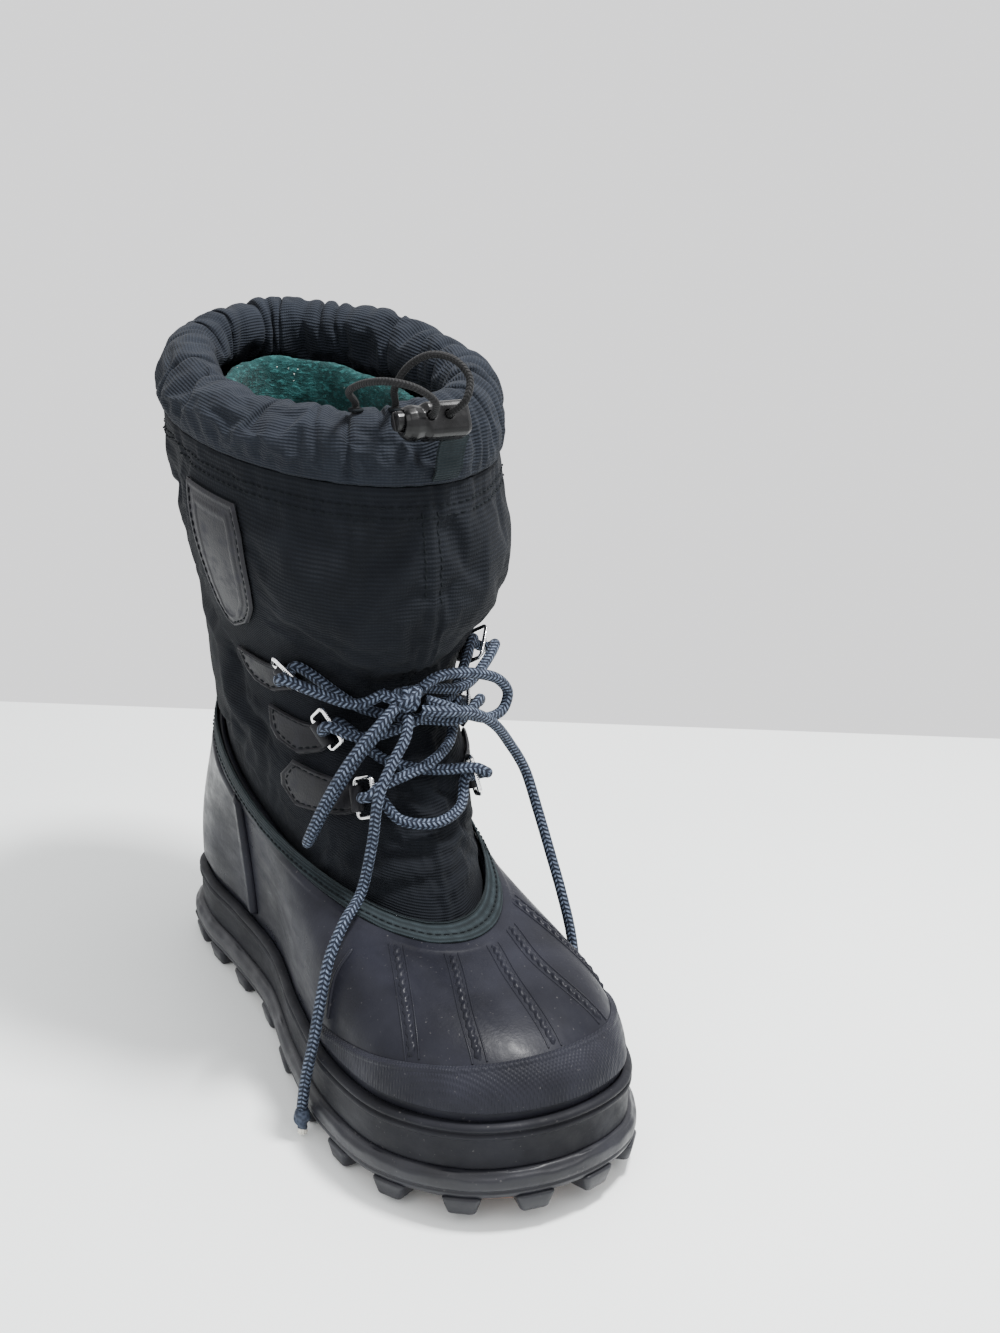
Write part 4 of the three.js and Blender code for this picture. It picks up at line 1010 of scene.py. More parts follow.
# ---- Sole ----
# The length round the sole, and each profile's insets and heights from its edge.
SOLE_ROUND = 852
BUMPER_PROFILE = (
    (9, 8.0), (4, 7.9), (1.8, 8.2), (0.8, 9.6), (0.5, 10.8), (1.1, 11.5), (0.2, 12.6), (0.0, 15), (0.3, 17.2),
    (1.5, 18.4), (2.2, 19.4), (3.4, 20), (9, 20),
)
BAND_PROFILE = (
    (BAND_FACE, SHELL_BASE_Z), (BAND_FACE, 26), (BAND_FACE, 32.6), (3.9, 33.4), (3.1, 34.2), (2.9, 35),
    (3.2, 35.8), (4.1, 36.6), (3.2, 37.4), (2.9, 38.2), (3.2, 39), (4.2, 39.8), (5.4, 40.2), (6.9, 40.3),
)


def section(profile, step):
    """Even places along the smooth curve through a flat profile."""
    return smooth_line([(*spot, 0) for spot in profile], step)[:, :2]


class BOOT_OT_sole(BootOperator):
    """Add the outsole's bumper and lugs, and finish the gum tread"""

    bl_idname = "boot.sole"
    bl_label = "Sole"

    def execute(self, context):
        look = materials(context)
        turns = np.linspace(0, 1, 541)
        profile = section(BUMPER_PROFILE, 0.6)
        run = turns * SOLE_ROUND
        waves = 0.45 * np.sin(TURN * run / 33) + 0.15 * np.sin(TURN * run / 12.4 + 1)
        rows = []
        for inset, z in profile:
            lift = waves * np.clip((z - 13) / 4, 0, 1) * (z < 19.2)
            rows.append(plan(turns, inset, z + lift))
        slab = skin("bumper", np.array(rows), (SOLE_ROUND * MM, 0.03), close=True, caps=True)
        bpy.ops.mesh.primitive_cube_add(size=2, location=(0, 0, 0))
        block = bpy.context.object
        modify(block, "BEVEL", width=0.34, segments=4, limit_method="NONE")
        corners = places_of(block) * MM
        lugs = []
        for k in range(LUG_COUNT):
            turn = (k + 0.5) / LUG_COUNT
            z = (corners[:, 2] + 1) / 2 * (LUG_HEIGHT + 1)
            share = np.interp(z, (0, LUG_HEIGHT * 0.5, LUG_HEIGHT + 1), (0.72, 0.95, 1.1))
            far = LUG_DEPTH * mix(1, share, 0.3)
            near = (1 - share) * 5 + 0.2
            deep = mix(near, far, (corners[:, 1] + 1) / 2)
            middle = plan(turn, 0, 0)
            inward = unit((plan(turn, 1, 0) - middle) * (1, 1, 0))
            along = np.array([-inward[1], inward[0], 0])
            at = middle + along * (LUG_LENGTH / 2 * share * corners[:, 0])[:, None] + inward * deep[:, None]
            at[:, 2] = z + spring(at[:, 1])
            lug = block.copy()
            lug.data = block.data.copy()
            context.scene.collection.objects.link(lug)
            place(lug, at)
            lugs.append(lug)
        bpy.data.objects.remove(block)
        lug_set = joined("lugs", lugs)
        edit(lug_set, ("normals_make_consistent", {"inside": False}))
        done(lug_set, look["bumper"], angle=40)
        done(slab, look["bumper"], stands_for=("outsole",))
        tread = NODES["outsole_tread"]
        tread.material_slots[0].material = look["gum"]
        return {"FINISHED"}


# ---- Galosh ----
# Each line's turns and levels on the galosh.
RIBS = (
    ((0.4168, 0.845), (0.416, 0.539), (0.4153, 0.237)),
    ((0.4715, 0.845), (0.4585, 0.547), (0.4555, 0.281)),
    ((0.5235, 0.845), (0.511, 0.68), (0.5045, 0.298)),
    ((0.5635, 0.845), (0.546, 0.68), (0.551, 0.275)),
    ((0.6085, 0.84), (0.602, 0.522), (0.6018, 0.211)),
)
FINE_LINES = (
    ((0.3728, 0.672), (0.3553, 0.446), (0.3455, 0.173)),
    ((0.2182, 0.880), (0.2127, 0.456), (0.2097, 0.043)),
    ((0.2097, 0.870), (0.2058, 0.456), (0.2030, 0.043)),
    ((0.7815, 0.880), (0.7873, 0.451), (0.7903, 0.043)),
    ((0.7900, 0.867), (0.7943, 0.449), (0.7970, 0.043)),
)


# The binding's section from its lower edge over the topline: level, lift and height off the galosh.
BINDING_ROWS = (
    (0.895, 0, 0.4), (0.9, 0, 1.7), (0.915, 0, 1.95), (0.94, 0, 1.9), (0.97, 0, 1.85), (0.99, 0, 1.9),
    (1, 0.4, 1.9), (1, 1.2, 1.85), (1, 2, 1.6), (1, 2.3, 0.9), (1, 2.1, 0.2),
)


class BOOT_OT_galosh(BootOperator):
    """Add the galosh with its ribs, toe cap, heel counter, foxing band and binding tape"""

    bl_idname = "boot.galosh"
    bl_label = "Galosh"

    def execute(self, context):
        look = materials(context)
        self.shell(look)
        self.ribs(context, look)
        self.overlays(look)
        self.band(look)
        self.binding(look)
        return {"FINISHED"}

    def shell(self, look):
        turns = np.linspace(0, 1, 361)
        levels = np.concatenate([np.linspace(0, 0.84, 52), np.linspace(0.85, 1, 26)])
        low = [plan(turns, SHELL_INSET, z) for z in (SHELL_BASE_Z, 30, 38)]
        rows = []
        seam = galosh(turns, 0.9)
        for level in levels:
            here = galosh(turns, level)
            below = np.linalg.norm(here - seam, axis=1) * np.sign(0.9 - level)
            band = 0.55 * ease(below, -0.6, 0.6) * (1 - ease(below, 5.6, 6.8))
            rows.append(here + outward(galosh, turns, level) * band[:, None])
        piece = skin("shell", np.array(low + rows), (0.85, 0.1), close=True)
        modify(piece, "SOLIDIFY", thickness=SHELL_WALL * MM, offset=-1)
        done(piece, look["rubber"], stands_for=("rubber_shell",))

    def ribs(self, context, look):
        width = context.scene.boot_sizes.rib_width / MM

        def on_galosh(knots, lift, shift=0.0):
            """Even places along a line on the galosh, shift millimetres to its side."""
            at = through([(t, s, 0) for t, s in knots], np.linspace(0, 1, 160))
            line = raised(galosh, at[:, 0], at[:, 1], lift)
            out = outward(galosh, at[:, 0], at[:, 1])
            side = unit(np.cross(out, np.gradient(line, axis=0)))
            return smooth_line((line + side * shift)[::6], 0.45)

        def rope(angle, run):
            taper = np.minimum(1, np.minimum(run, run.max() - run) / 4 + 0.3)
            return taper * width / 2 * (0.87 + 0.13 * np.cos(2 * angle - run * TURN / 4.6))

        pieces = []
        for k, knots in enumerate(RIBS):
            pieces.append(swept(f"rib_{k}", on_galosh(knots, -0.95), rope, 20))
            for shift in (-2.9, 2.9):
                pieces.append(swept("rib_edge", on_galosh(knots, -0.1, shift), 0.42, 8))
        for knots in FINE_LINES:
            pieces.append(swept("fine_line", on_galosh(knots, 0.1), 0.95, 8))
        done(joined("rope_ribs", pieces), look["rubber"])

    def overlays(self, look):
        for name, node, low, high, top, step, finish in (
            ("cap", "toe_cap", 12 / 36, 24 / 36, lambda s: 0.1 + 0.2 * np.sin(np.pi * s), 160, "cap"),
            ("counter", "heel_counter", -8 / 36, 8 / 36, lambda s: 0.86 + 0 * s, 160, "rubber"),
        ):
            share = np.linspace(0, 1, step + 1)
            rise = np.linspace(0, 1, 61)[:, None]
            turn = np.broadcast_to(mix(low, high, share), (61, step + 1))
            level = mix(0.05, np.broadcast_to(top(share), turn.shape), rise)
            places = galosh(turn, level)
            up, first, last = (
                np.linalg.norm(places - side, axis=-1) for side in (places[-1], places[:, :1], places[:, -1:])
            )
            across = np.minimum(first, last)
            inside = np.minimum(up, across)
            lip = 0.3 * ease(inside, 0.6, 1.6) * (1 - ease(inside, 2.4, 3.4))
            height = 0.4 + 1.3 * ease(inside, 0, 1.8) + lip
            if name == "counter":
                height = height + 1.0 * ease(across, 0.5, 2.0) * (1 - ease(across, 7, 9))
            piece = skin(name, raised(galosh, turn, level, height), (0.3, 0.1))
            modify(piece, "SOLIDIFY", thickness=0.9 * MM, offset=-1)
            done(piece, look[finish], stands_for=(node,))

    def band(self, look):
        turns = np.linspace(0, 1, 433)
        rows = np.array([plan(turns, inset, z) for inset, z in section(BAND_PROFILE, 0.45)])
        piece = skin("band", rows, (0.85, 0.024), close=True)
        modify(piece, "SOLIDIFY", thickness=0.8 * MM, offset=-1)
        done(piece, look["foxing"], stands_for=("foxing_band",))

    def binding(self, look):
        turns = np.linspace(0, 1, 541)
        rows = []
        for level, lift, height in BINDING_ROWS:
            at = raised(galosh, turns, level, height)
            at[:, 2] += lift
            pucker = 0.35 * rough(at * (1, 1, 0.3), 7, 1) + 0.14 * rough(at, 2.2, 2)
            rows.append(at + outward(galosh, turns, level) * pucker[:, None])
        grid = np.array(rows)
        grid[:, -1] = grid[:, 0]
        piece = skin("binding", grid, (0.62, 0.0115), close=True)
        modify(piece, "SOLIDIFY", thickness=0.5 * MM, offset=-1)
        subdivide(piece, 1)
        done(piece, look["tape"], stands_for=("shell_binding",))


# ---- Shaft, collar and inner boot ----
def drawn(rng, *ranges):
    """A random number from each range, in order."""
    return [rng.uniform(low, high) for low, high in ranges]


def creases(position, height, rows):
    """Narrow valleys: each has a place round the boot, a slant, a width, a depth and a stretch up."""
    depth = np.zeros(np.broadcast(position, height).shape)
    for at, slant, width, deep, low, high in rows:
        middle = (low + high) / 2
        away = apart(position, at + slant * (height - middle))
        window = ease(height, low - 0.06, low + 0.06) * (1 - ease(height, high - 0.1, high + 0.06))
        depth += deep * bell(away, 0, width) * window
    return depth


# Deep folds of the shaft: places along each, its width and its depth.
FOLDS = (
    (
        (
            (-51.4, 52.4, 182.3), (-48.7, 47.4, 164.1), (-47.5, 36.8, 152.8), (-43.2, 13.1, 145.8),
            (-35.3, -6.7, 144.4),
        ),
        5.0, 4.2,
    ),
    (((-9.9, -33.5, 137.7), (-2.5, -38.1, 133.2), (3.5, -38, 127)), 2.6, 2.2),
    (((11.3, -35.5, 136), (18, -32, 130), (29.9, -25.5, 121.7)), 2.8, 2.2),
    (((-14, -38, 128), (-1.3, -45.2, 121.6), (9, -45, 118)), 2.8, 2.0),
    (((-4, -33, 147), (6, -34, 143), (16, -31, 144)), 2.4, 1.8),
    (((20, -38, 118), (30, -32, 110), (38, -22, 108)), 3.4, 1.8),
    (((-24, -34, 121), (-15, -43, 114), (-4, -48, 112)), 3.0, 1.6),
)


# The ranges that the shaft's creases are drawn from: slant, width, depth, bottom and top.
TOP_GATHER_COUNT, LACED_GATHER_COUNT = 52, 16
TOP_GATHERS = ((-0.05, 0.05), (0.004, 0.009), (0.3, 1.0), (0.86, 0.94))
LACED_GATHERS = ((-0.25, 0.25), (0.006, 0.012), (0.6, 1.2), (0.24, 0.32), (0.38, 0.46))
# The shaft's lying rolls: level, turn, width, depth and reach round the boot.
SHAFT_ROLLS = (
    (0.3, 0.5, 0.035, 1.0, 0.14), (0.43, 0.52, 0.05, 0.8, 0.1), (0.36, 0.12, 0.03, 0.9, 0.12),
    (0.4, 0.9, 0.03, 1.0, 0.14), (0.5, 0.2, 0.035, 0.6, 0.16), (0.5, 0.8, 0.035, 0.7, 0.16),
    (0.22, 0.47, 0.02, 0.7, 0.1), (0.25, 0.03, 0.03, 0.9, 0.12), (0.62, 0.35, 0.03, 0.5, 0.1),
)
# The collar's slumps: turn, place up its section, width, reach round the boot and depth.
COLLAR_SLUMPS = (
    (0.2, 0.3, 0.05, 0.06, 0.7), (0.31, 0.24, 0.04, 0.07, 0.8), (0.25, 0.14, 0.035, 0.05, 0.5),
    (0.36, 0.33, 0.04, 0.05, 0.5), (0.14, 0.22, 0.05, 0.04, 0.6), (0.6, 0.2, 0.05, 0.05, 0.4),
)
COLLAR_SECTION = (
    (0.4, 0, 0), (-2.6, 7, 0), (-3.6, 15, 0), (-1.6, 24, 0), (3.6, 31, 0), (10.5, 34, 0), (17.5, 31.5, 0),
    (22, 25, 0), (23.4, 17, 0), (21.5, 9, 0), (15, 3, 0), (7, 0, 0),
)


def deep_folds(face):
    """How deep the shaft's folds are at places on it."""
    depth = np.zeros(face.shape[:-1])
    for knots, width, deep in FOLDS:
        line = smooth_line(np.array(knots, float), 3)
        away = np.linalg.norm(face[..., None, :] - line, axis=-1).min(axis=-1)
        depth += deep * (bell(away, 0, width) - 0.3 * bell(away, 2.2 * width, width))
    return depth


def overhang(face):
    """The shaft's fullness above the lacing, which hangs over its top."""
    x, y, z = face[..., 0], face[..., 1], face[..., 2]
    above = z - 189 - 0.7 * np.maximum(0, np.abs(x) - 15)
    front = 1 - ease(y, -12, 12)
    return front * (3.2 * ease(above, -3, 5) * (1 - ease(above, 10, 45)) - 1.6 * bell(above, -6, 5))


class BOOT_OT_shaft(BootOperator):
    """Add the nylon shaft with its folds, puckers and front seam"""

    bl_idname = "boot.shaft"
    bl_label = "Shaft"

    def execute(self, context):
        look = materials(context)
        fold = context.scene.boot_sizes.fold_depth / MM
        turns = np.linspace(0, 1, 217)
        levels = np.linspace(0, 1, 97)
        turn, level = np.meshgrid(turns, levels)
        face = shaft(turn, level)
        out = outward(shaft, turn, level)
        grid = face + out * self.relief(face, turn, level, fold)[..., None]
        grid[:, -1] = grid[:, 0]
        piece = skin("shaft", grid, (0.42, 0.2), close=True)
        at = places_of(piece)
        near_front = bell(at[:, 0], 0, 5) * (at[:, 1] < 40)
        still = 1 - self.loose(at)
        span = (at[:, 2] - mix(134, 84, (1 - (at[:, 1] + 66) / 220))) / 180
        clear = np.where(at[:, 1] < 0, ease(at[:, 2], 88, 104), ease(span, 0.02, 0.12))
        ends = np.maximum(1 - clear, 0)
        top = ease(at[:, 2] - even_seam(at), -9, -3)
        held = np.clip(np.maximum.reduce([near_front, still, ends, top]), 0, 1)
        settle(piece, held, 0.05, 1.2, 3.2)
        subdivide(piece, 1)
        modify(piece, "SOLIDIFY", thickness=FABRIC * MM * 0.8, offset=-1)
        done(piece, look["nylon"], stands_for=("shaft_lateral", "shaft_medial"))
        return {"FINISHED"}

    def loose(self, at):
        """1 where the fabric hangs free, 0 under the tabs and the patch."""
        free = np.ones(at.shape[:-1])
        for (_, k), tab in TABS.items():
            site = TAB_SITES[k]
            for share in (0.15, 0.55, 0.95):
                middle = beside_tab(tab, site["lean"] * share, -site["reach"] * share, 0)
                free *= ease(np.linalg.norm(at - middle, axis=-1), 12, 24)
        for level in (0.72, 0.82, 0.92):
            middle = shaft(PATCH["turn"], level)
            free *= ease(np.linalg.norm(at - middle, axis=-1), 18, 32)
        return free

    def relief(self, face, turn, level, fold):
        """How far the fabric stands out from its smooth shape, in millimetres."""
        rng = np.random.default_rng(11)
        free = self.loose(face)
        laced = bell(turn, 0.5, 0.07) * bell(level, 0.48, 0.14)
        soft = 1.1 * rough(face * (1, 1, 1.6), 26, 3) + 0.5 * rough(face, 11, 4)
        rows = []
        for k in range(TOP_GATHER_COUNT):
            at = (k + rng.uniform(-0.35, 0.35)) / TOP_GATHER_COUNT
            rows.append((at, *drawn(rng, *TOP_GATHERS), 1.1))
        for _ in range(LACED_GATHER_COUNT):
            at = 0.5 + rng.uniform(-0.13, 0.13)
            rows.append((at, *drawn(rng, *LACED_GATHERS)))
        valleys = creases(turn, level, rows)
        across = np.zeros_like(face[..., 0])
        for at, centre, width, deep, reach in SHAFT_ROLLS:
            wander = 0.03 * np.sin(TURN * turn * 3 + at * 20)
            across += deep * bell(level, at + wander, width) * bell(apart(turn, centre), 0, reach)
        beside = np.abs(face[..., 0])
        seam = 0.9 * bell(beside, 0, 1.3) - 0.9 * np.exp(-((beside - 3.2) ** 2) / 1.6)
        front = (np.abs(turn - 0.5) < 0.05) | (np.abs(turn) < 0.05) | (np.abs(turn - 1) < 0.05)
        seam = seam * front * (1 + 0.5 * np.sin(face[..., 2] * TURN / 9))
        stand = free * (soft * 0.8 - fold * 0.5 * valleys - fold * 0.7 * across) + seam * (1 - laced)
        stand = stand * (1 - 0.8 * laced) + overhang(face) - (0.3 + 0.7 * free) * deep_folds(face)
        return stand * ease(level, 0.1, 0.16)


class BOOT_OT_collar(BootOperator):
    """Add the padded snow collar, gathered round its drawcord"""

    bl_idname = "boot.collar"
    bl_label = "Snow Collar"

    def execute(self, context):
        look = materials(context)
        depth = context.scene.boot_sizes.crease_depth / MM
        turns = np.linspace(0, 1, 289)
        around = np.linspace(0, 1, 61)
        ring = through(COLLAR_SECTION, around, closed=True)
        turn = np.broadcast_to(turns, (len(around), len(turns)))
        grid = collar(turn, ring[:, :1], ring[:, 1:2])
        up = np.broadcast_to(around[:, None], turn.shape)
        ahead = np.roll(grid[:, :-1], -1, axis=1) - np.roll(grid[:, :-1], 1, axis=1)
        rise = np.roll(grid[:-1], -1, axis=0) - np.roll(grid[:-1], 1, axis=0)
        ahead = np.concatenate([ahead, ahead[:, :1]], axis=1)
        rise = np.concatenate([rise, rise[:1]], axis=0)
        out = unit(np.cross(ahead, rise))
        grid = grid + out * self.gathers(grid, turn, up, depth)[..., None]
        grid[:, -1] = grid[:, 0]
        grid[-1] = grid[0]
        piece = skin("snow_collar_fabric", grid, (0.44, 0.1), close=True)
        at = places_of(piece)
        held = 1 - ease(at[:, 2] - even_seam(at), 1.5, 6)
        settle(piece, held, 0.1, 3.2, 5.0)
        subdivide(piece, 1)
        at = places_of(piece)
        place(piece, at + normals_of(piece) * (0.25 * rough(at, 5, 8))[:, None])
        # The collar's finish is the shaft's nylon with painted light: 2.1 times lighter, as if lit from
        # above.
        done(piece, look["collar"], stands_for=("snow_collar",))
        return {"FINISHED"}

    def gathers(self, grid, turn, up, depth):
        """How far the collar's fabric stands out: valleys run over the crest from seam to seam."""
        rng = np.random.default_rng(5)
        rows = []
        count = 44
        for k in range(count):
            at = (k + rng.uniform(-0.4, 0.4)) / count
            near = bell(at, 0.27, 0.13)
            deep = rng.uniform(0.35, 1.0) * (1 - 0.75 * near)
            start = rng.choice([0.0, 0.12, 0.28, 0.4])
            end = rng.choice([0.55, 0.7, 0.95, 0.98])
            rows.append((at, rng.uniform(-0.03, 0.03), rng.uniform(0.0035, 0.0075), deep, start, end))
        valleys = creases(turn, up, rows)
        slumps = 0
        for at, level, width, reach, deep in COLLAR_SLUMPS:
            slumps = slumps + deep * bell(apart(turn, at), 0, reach) * bell(up, level, width)
        soft = 0.9 * rough(grid, 19, 6) + 0.4 * rough(grid, 8, 7)
        by_lock = 1 - 0.7 * bell(turn, 0.515, 0.03) * (up < 0.45)
        seam = 0.8 * bell(up, 0.01, 0.012)
        return (soft - depth * valleys - 0.5 * depth * slumps) * by_lock * ease(up, 0.0, 0.06) + seam


class BOOT_OT_liner(BootOperator):
    """Add the curly felt inner boot"""

    bl_idname = "boot.liner"
    bl_label = "Inner Boot"

    def execute(self, context):
        look = materials(context)
        piece = copy_of("felt_liner", "inner_boot")
        subdivide(piece, 3)
        at = places_of(piece)
        high = ease(at[:, 2], 190, 240)
        curl = 0.55 * rough(at * (1, 1, 2.0), 4.5, 9) + 0.35 * rough(at, 2.0, 10)
        wave = 0.7 * rough(at * (1, 1, 1.5), 14, 11)
        place(piece, at + normals_of(piece) * (high * (curl + wave))[:, None])
        done(piece, look["felt"], stands_for=("felt_liner",))
        return {"FINISHED"}


# ---- Tabs, rings and patch ----
LEATHER_BORDER, LEATHER_GROOVE = 1.5, 2.3


def edged(height, inside):
    """A leather piece's height with its raised border and stitched groove, from how far inside its edge."""
    lip = 0.35 * ease(inside, 0.2, 0.8) * (1 - ease(inside, LEATHER_BORDER, LEATHER_BORDER + 0.5))
    channel = 0.3 * bell(inside, LEATHER_GROOVE, 0.35)
    rounding = 0.6 * (1 - ease(inside, 0, 0.9))
    return height + lip - channel - rounding


class BOOT_OT_tabs(BootOperator):
    """Add the lace tabs, the wire rings and the side patch"""

    bl_idname = "boot.tabs"
    bl_label = "Tabs and Rings"

    def execute(self, context):
        look = materials(context)
        for (side, k), tab in TABS.items():
            label = tab_label(side, k)
            self.tab(look, tab, TAB_SITES[k], side, label)
            self.ring(look, tab, label)
        self.patch(look)
        return {"FINISHED"}

    def tab(self, look, tab, site, side, label):
        reach, lean = site["reach"], site["lean"]
        # Ahead of the ring's bar, across and half as wide.
        rows = np.array([
            (1.6, 0, 5.4), (-1.2, 0, 6.0), (-6, 0.2 * lean, 7.8), (-(6 + reach) / 2, 0.6 * lean, 10),
            (-reach, lean, 12.5), (-reach - TAB_POINT, lean, 2.4),
        ])
        ahead = np.interp(np.linspace(0, 1, 90), np.linspace(0, 1, 6), rows[:, 0])
        shift = np.interp(-ahead, -rows[:, 0], rows[:, 1])
        half = np.interp(-ahead, -rows[:, 0], rows[:, 2])
        across = np.linspace(-1, 1, 49)
        a = shift[:, None] + half[:, None] * across
        b = np.broadcast_to(ahead[:, None], a.shape)
        from_side = half[:, None] * (1 - np.abs(across)) * 0.93
        inside = np.minimum(from_side, (b + reach + TAB_POINT) * 0.9)
        inside = np.where(b > -4, np.minimum(from_side, 3.2), inside)
        height = edged(TAB_GAP + TAB_THICKNESS, inside)
        worn = 0.15 * rough(np.stack([a, b, 0 * a], -1), 6, 12 + side)
        grid = beside_tab(tab, a, b, height + worn)
        piece = skin(f"tab_{label}", grid[::-1] if side > 0 else grid, (0.03, 0.035))
        edit(piece, ("normals_make_consistent", {"inside": False}))
        middle = normals_of(piece).mean(axis=0)
        if middle.dot(tab["out"]) < 0:
            edit(piece, ("flip_normals", {}))
        modify(piece, "SOLIDIFY", thickness=1.5 * MM, offset=-1)
        half_length = FOLD_LENGTH / 2
        outer, inner = FOLD_RADIUS - 0.05, WIRE_RADIUS + 0.4
        profile = [
            (-half_length, inner), (-half_length, outer - 0.5), (-half_length + 0.5, outer),
            (-2, outer + 0.02), (2, outer + 0.02),
            (half_length - 0.5, outer), (half_length, outer - 0.5), (half_length, inner),
        ]
        fold = turned(f"fold_{label}", tab["bar"], tab["along"], profile)
        piece = joined(f"tab_{label}", [piece, fold])
        done(piece, look["leather"], stands_for=(f"lace_tab_{label}",), angle=50)

    def ring(self, look, tab, label):
        reach = ring_ahead(tab)
        corner, half = 2.2, RING_WIDTH / 2
        arc = np.linspace(0, math.pi / 2, 9)
        path = []
        for x, y, quarter in (
            (half - corner, RING_DEPTH - corner, 0), (-half + corner, RING_DEPTH - corner, 1),
            (-half + corner, corner, 2), (half - corner, corner, 3),
        ):
            bends = arc + quarter * math.pi / 2
            path += [(x + corner * math.cos(w), y + corner * math.sin(w)) for w in bends]
        loop = np.array([*path, path[0]])
        run = run_of(loop)
        flat = along_line(loop, run, np.linspace(0, run[-1], 281))
        line = tab["bar"] + flat[:, :1] * tab["along"] + flat[:, 1:] * reach
        front = (flat[:-1, 1] > RING_DEPTH - 0.4) & (np.abs(flat[:-1, 0]) < half - corner)

        def wire(angle, run):
            ribbed = 0.07 * np.sin(run * TURN / 0.9) * front[:, None]
            return WIRE_RADIUS + ribbed - 0.04 + 0 * angle

        piece = swept(f"ring_{label}", line, wire, 14, closed=True)
        done(piece, look["chrome"], f"lace_ring_{label}", (f"lace_ring_{label}",))

    def patch(self, look):
        rows = np.linspace(1, 0, 90)
        share = np.interp(rows, PATCH_RISE, (0.15, 0.7, 0.95, 1, 1, 1, 0.9))
        across = np.linspace(-1, 1, 71)
        turn = PATCH["turn"] + PATCH["half"] * share[:, None] * across
        level = np.broadcast_to(mix(PATCH["bottom"], PATCH["top"], rows)[:, None], turn.shape)
        wide, tall = PATCH_SIZE
        from_side = wide / 2 * share[:, None] * (1 - np.abs(across))
        from_ends = np.minimum((1 - rows) * tall, rows * tall * 0.9)[:, None]
        inside = np.minimum(from_side, from_ends)
        panel = 0.4 * ease(inside, 4.2, 4.9) - 0.4 * ease(inside, 6.2, 6.8)
        height = edged(TAB_GAP + 1.4, inside) + panel
        grid = raised(shaft, turn, level, height)
        piece = skin("shield_patch", grid[::-1], (wide * MM, tall * MM))
        modify(piece, "SOLIDIFY", thickness=1.2 * MM, offset=-1)
        done(piece, look["patch"], stands_for=("side_patch",), angle=50)


# ---- Cord lock ----
class BOOT_OT_cord_lock(BootOperator):
    """Add the cord lock's body and button and its ribbed tab"""

    bl_idname = "boot.cord_lock"
    bl_label = "Cord Lock"

    def execute(self, context):
        look = materials(context)
        for node, name, body, voxel in (
            ("cord_lock_body", "lock_body", "boot", 0.38),
            ("cord_lock_button", "lock_button", "cord_lock_button", 0.3),
        ):
            piece = copy_of(node, name)
            modify(piece, "REMESH", mode="VOXEL", voxel_size=voxel * MM)
            modify(piece, "SMOOTH", factor=0.5, iterations=3)
            done(piece, look["plastic"], body, (node,))
        rows = section(((-0.8, 2), (-3.7, 7), (-4.8, 14), (-6.2, 19), (-8, 22.5)), 0.3)
        turn = np.broadcast_to(np.linspace(0.501, 0.528, 40), (len(rows), 40))
        rib = 0.22 * np.sin(np.arange(len(rows)) * 0.3 * TURN / 1.5)[:, None]
        edge = 0.25 * np.exp(-((np.minimum(np.arange(40), 39 - np.arange(40)) / 2.0) ** 2))[None]
        grid = collar(turn, rows[:, 0][:, None] - 1.2 - rib - edge, rows[:, 1][:, None])
        piece = skin("lock_webbing", grid, (0.012, 0.023))
        modify(piece, "SOLIDIFY", thickness=1.1 * MM, offset=-1)
        done(piece, look["tape"], stands_for=("cord_lock_tab",))
        return {"FINISHED"}


# ---- Stitching ----
STITCH_WIDE, STITCH_HIGH = 0.42, 0.36


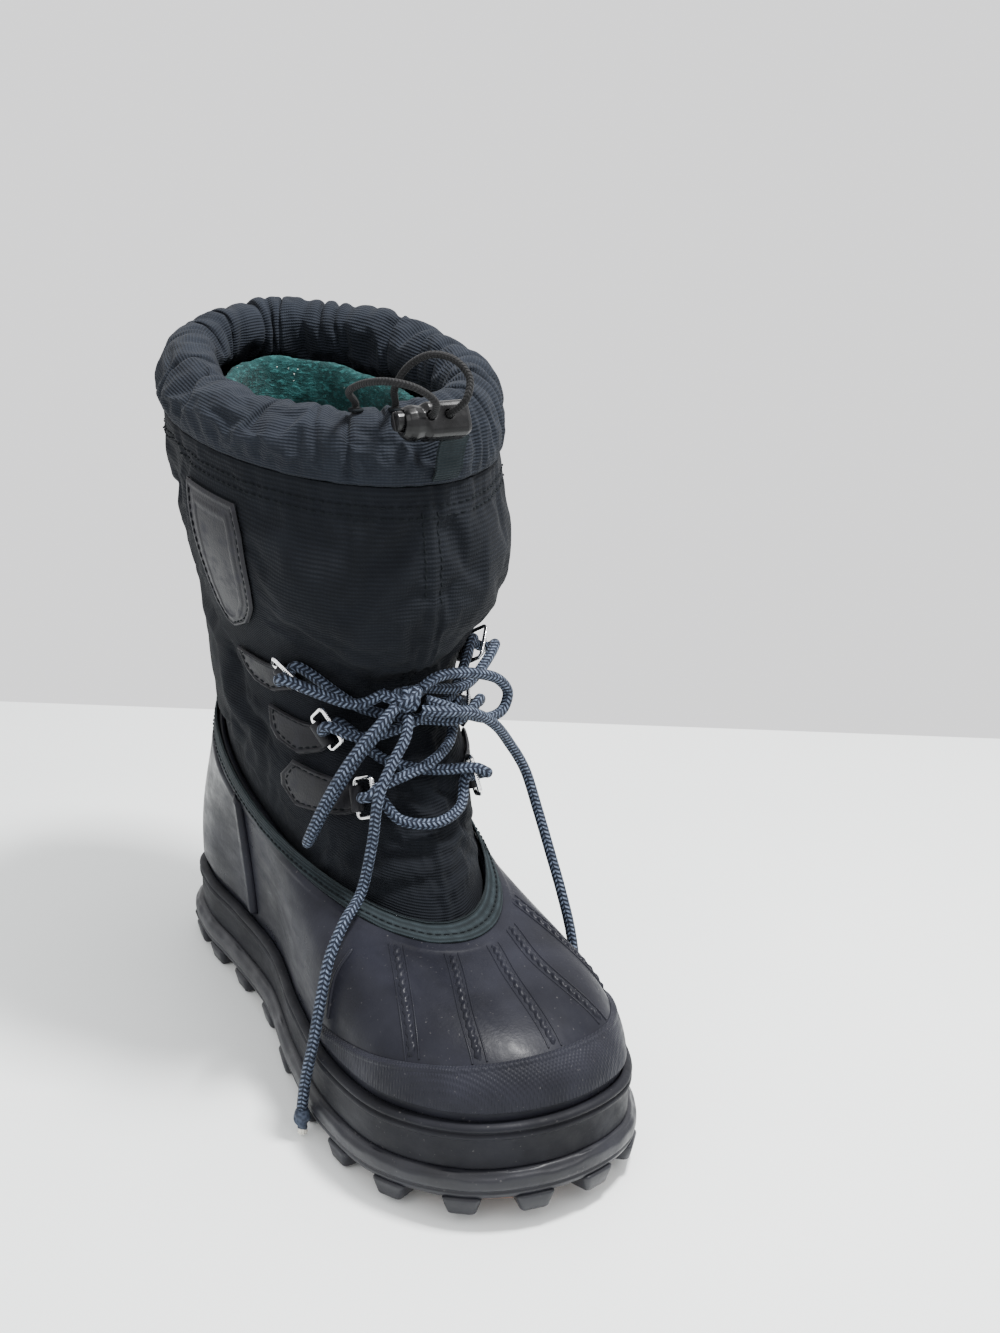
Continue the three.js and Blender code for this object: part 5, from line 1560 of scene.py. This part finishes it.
class BOOT_OT_stitching(BootOperator):
    """Add the rows of stitches at the collar, the front seam, the tabs, the patch and the tape"""

    bl_idname = "boot.stitching"
    bl_label = "Stitching"

    def execute(self, context):
        look = materials(context)
        pitch = context.scene.boot_sizes.stitch / MM * 1.35
        graph = context.evaluated_depsgraph_get()

        def surface(name):
            return BVHTree.FromObject(bpy.data.objects[name], graph)

        fabric, tape, patch = (surface(name) for name in ("shaft", "binding", "shield_patch"))
        turns, front = np.linspace(0, 1, 400), np.linspace(0.6, 0.97, 200)
        rows = [
            (shaft(turns, 0.975), fabric, 0.3),
            (shaft(turns, 0.962), fabric, 0.3),
            (shaft(0.5085, front), fabric, 0.2),
            (shaft(0.4915, front), fabric, 0.2),
            (raised(galosh, turns, 0.935, 1.9), tape, 0.2),
        ]
        for (side, k), tab in TABS.items():
            leather = surface(f"tab_{tab_label(side, k)}")
            site = TAB_SITES[k]
            reach, lean = site["reach"], site["lean"]
            edge = np.array([
                (0.2 * lean - 5.2, -6), (lean - 9.8, -reach + 0.6), (lean, -reach - 4.4),
                (lean + 9.8, -reach + 0.6), (0.2 * lean + 5.2, -6),
            ])
            along = np.concatenate([np.linspace(p, q, 30) for p, q in zip(edge[:-1], edge[1:])])
            rows.append((beside_tab(tab, along[:, 0], along[:, 1], 2.4), leather, 0.1))
        up = np.linspace(0, 1, 60)
        share = np.interp(up, PATCH_RISE, (0.1, 0.6, 0.83, 0.88, 0.88, 0.88, 0.8))
        level = mix(PATCH["bottom"], PATCH["top"], 0.04 + 0.92 * up)
        for sign in (-1, 1):
            turn = PATCH["turn"] + sign * PATCH["half"] * share
            rows.append((raised(shaft, turn, level, 2), patch, 0.1))
        deselect()
        bpy.ops.mesh.primitive_uv_sphere_add(segments=6, ring_count=4, radius=1)
        stitch = bpy.context.object
        shape = places_of(stitch) * MM
        faces = [tuple(face.vertices) for face in stitch.data.polygons]
        half = context.scene.boot_sizes.stitch / MM / 2
        vertices, polygons = [], []
        for line, tree, lift in rows:
            run = run_of(line)
            spots = along_line(line, run, np.linspace(0, run[-1], int(run[-1] / pitch) + 1))
            for first, second in zip(spots[:-1], spots[1:]):
                near, normal, _, _ = tree.find_nearest(Vector((first + second) / 2 * MM))
                normal = np.array(normal)
                along = second - first
                along = unit(along - normal * along.dot(normal))
                side = np.cross(normal, along)
                middle = np.array(near) / MM + normal * lift
                at = middle + shape @ np.stack([side * STITCH_WIDE, normal * STITCH_HIGH, along * half])
                start = len(vertices) * len(shape)
                polygons += [tuple(start + v for v in face) for face in faces]
                vertices.append(at)
        bpy.data.objects.remove(stitch)
        mesh = bpy.data.meshes.new("stitches")
        mesh.from_pydata((np.concatenate(vertices) * MM).tolist(), [], polygons)
        piece = bpy.data.objects.new("stitches", mesh)
        context.scene.collection.objects.link(piece)
        edit(piece, ("normals_make_consistent", {"inside": False}))
        done(piece, look["thread"])
        return {"FINISHED"}


class BOOT_OT_inner(BootOperator):
    """Finish the pieces inside the boot"""

    bl_idname = "boot.inner"
    bl_label = "Inner Pieces"

    def execute(self, context):
        look = materials(context)
        for node, finish in (
            ("shank", "steel"), ("insole_board", "board"), ("felt_insole", "grey_felt"),
            ("cord_lock_spring", "steel"),
        ):
            NODES[node].material_slots[0].material = look[finish]
        return {"FINISHED"}


OPERATORS = (
    BOOT_OT_stage, BOOT_OT_lace, BOOT_OT_drawcord, BOOT_OT_sole, BOOT_OT_galosh, BOOT_OT_shaft,
    BOOT_OT_collar, BOOT_OT_liner, BOOT_OT_tabs, BOOT_OT_cord_lock, BOOT_OT_stitching, BOOT_OT_inner,
)


class BOOT_PT_panel(bpy.types.Panel):
    """The boot's sizes, colours and pieces"""

    bl_idname = "BOOT_PT_panel"
    bl_label = "Winter Pac Boot"
    bl_space_type = "VIEW_3D"
    bl_region_type = "UI"
    bl_category = "Boot"

    def draw(self, context):
        for group in (context.scene.boot_sizes, context.scene.boot_colours):
            for key in group.__annotations__:
                self.layout.prop(group, key)
        for operator in OPERATORS:
            self.layout.operator(operator.bl_idname)


CLASSES = (BootSizes, BootColours, *OPERATORS, BOOT_PT_panel)


def register():
    for item in CLASSES:
        bpy.utils.register_class(item)
    bpy.types.Scene.boot_sizes = bpy.props.PointerProperty(type=BootSizes)
    bpy.types.Scene.boot_colours = bpy.props.PointerProperty(type=BootColours)


def unregister():
    del bpy.types.Scene.boot_colours
    del bpy.types.Scene.boot_sizes
    for item in reversed(CLASSES):
        bpy.utils.unregister_class(item)


def main():
    register()
    for operator in OPERATORS:
        family, name = operator.bl_idname.split(".")
        getattr(getattr(bpy.ops, family), name)()


if __name__ == "__main__":
    main()
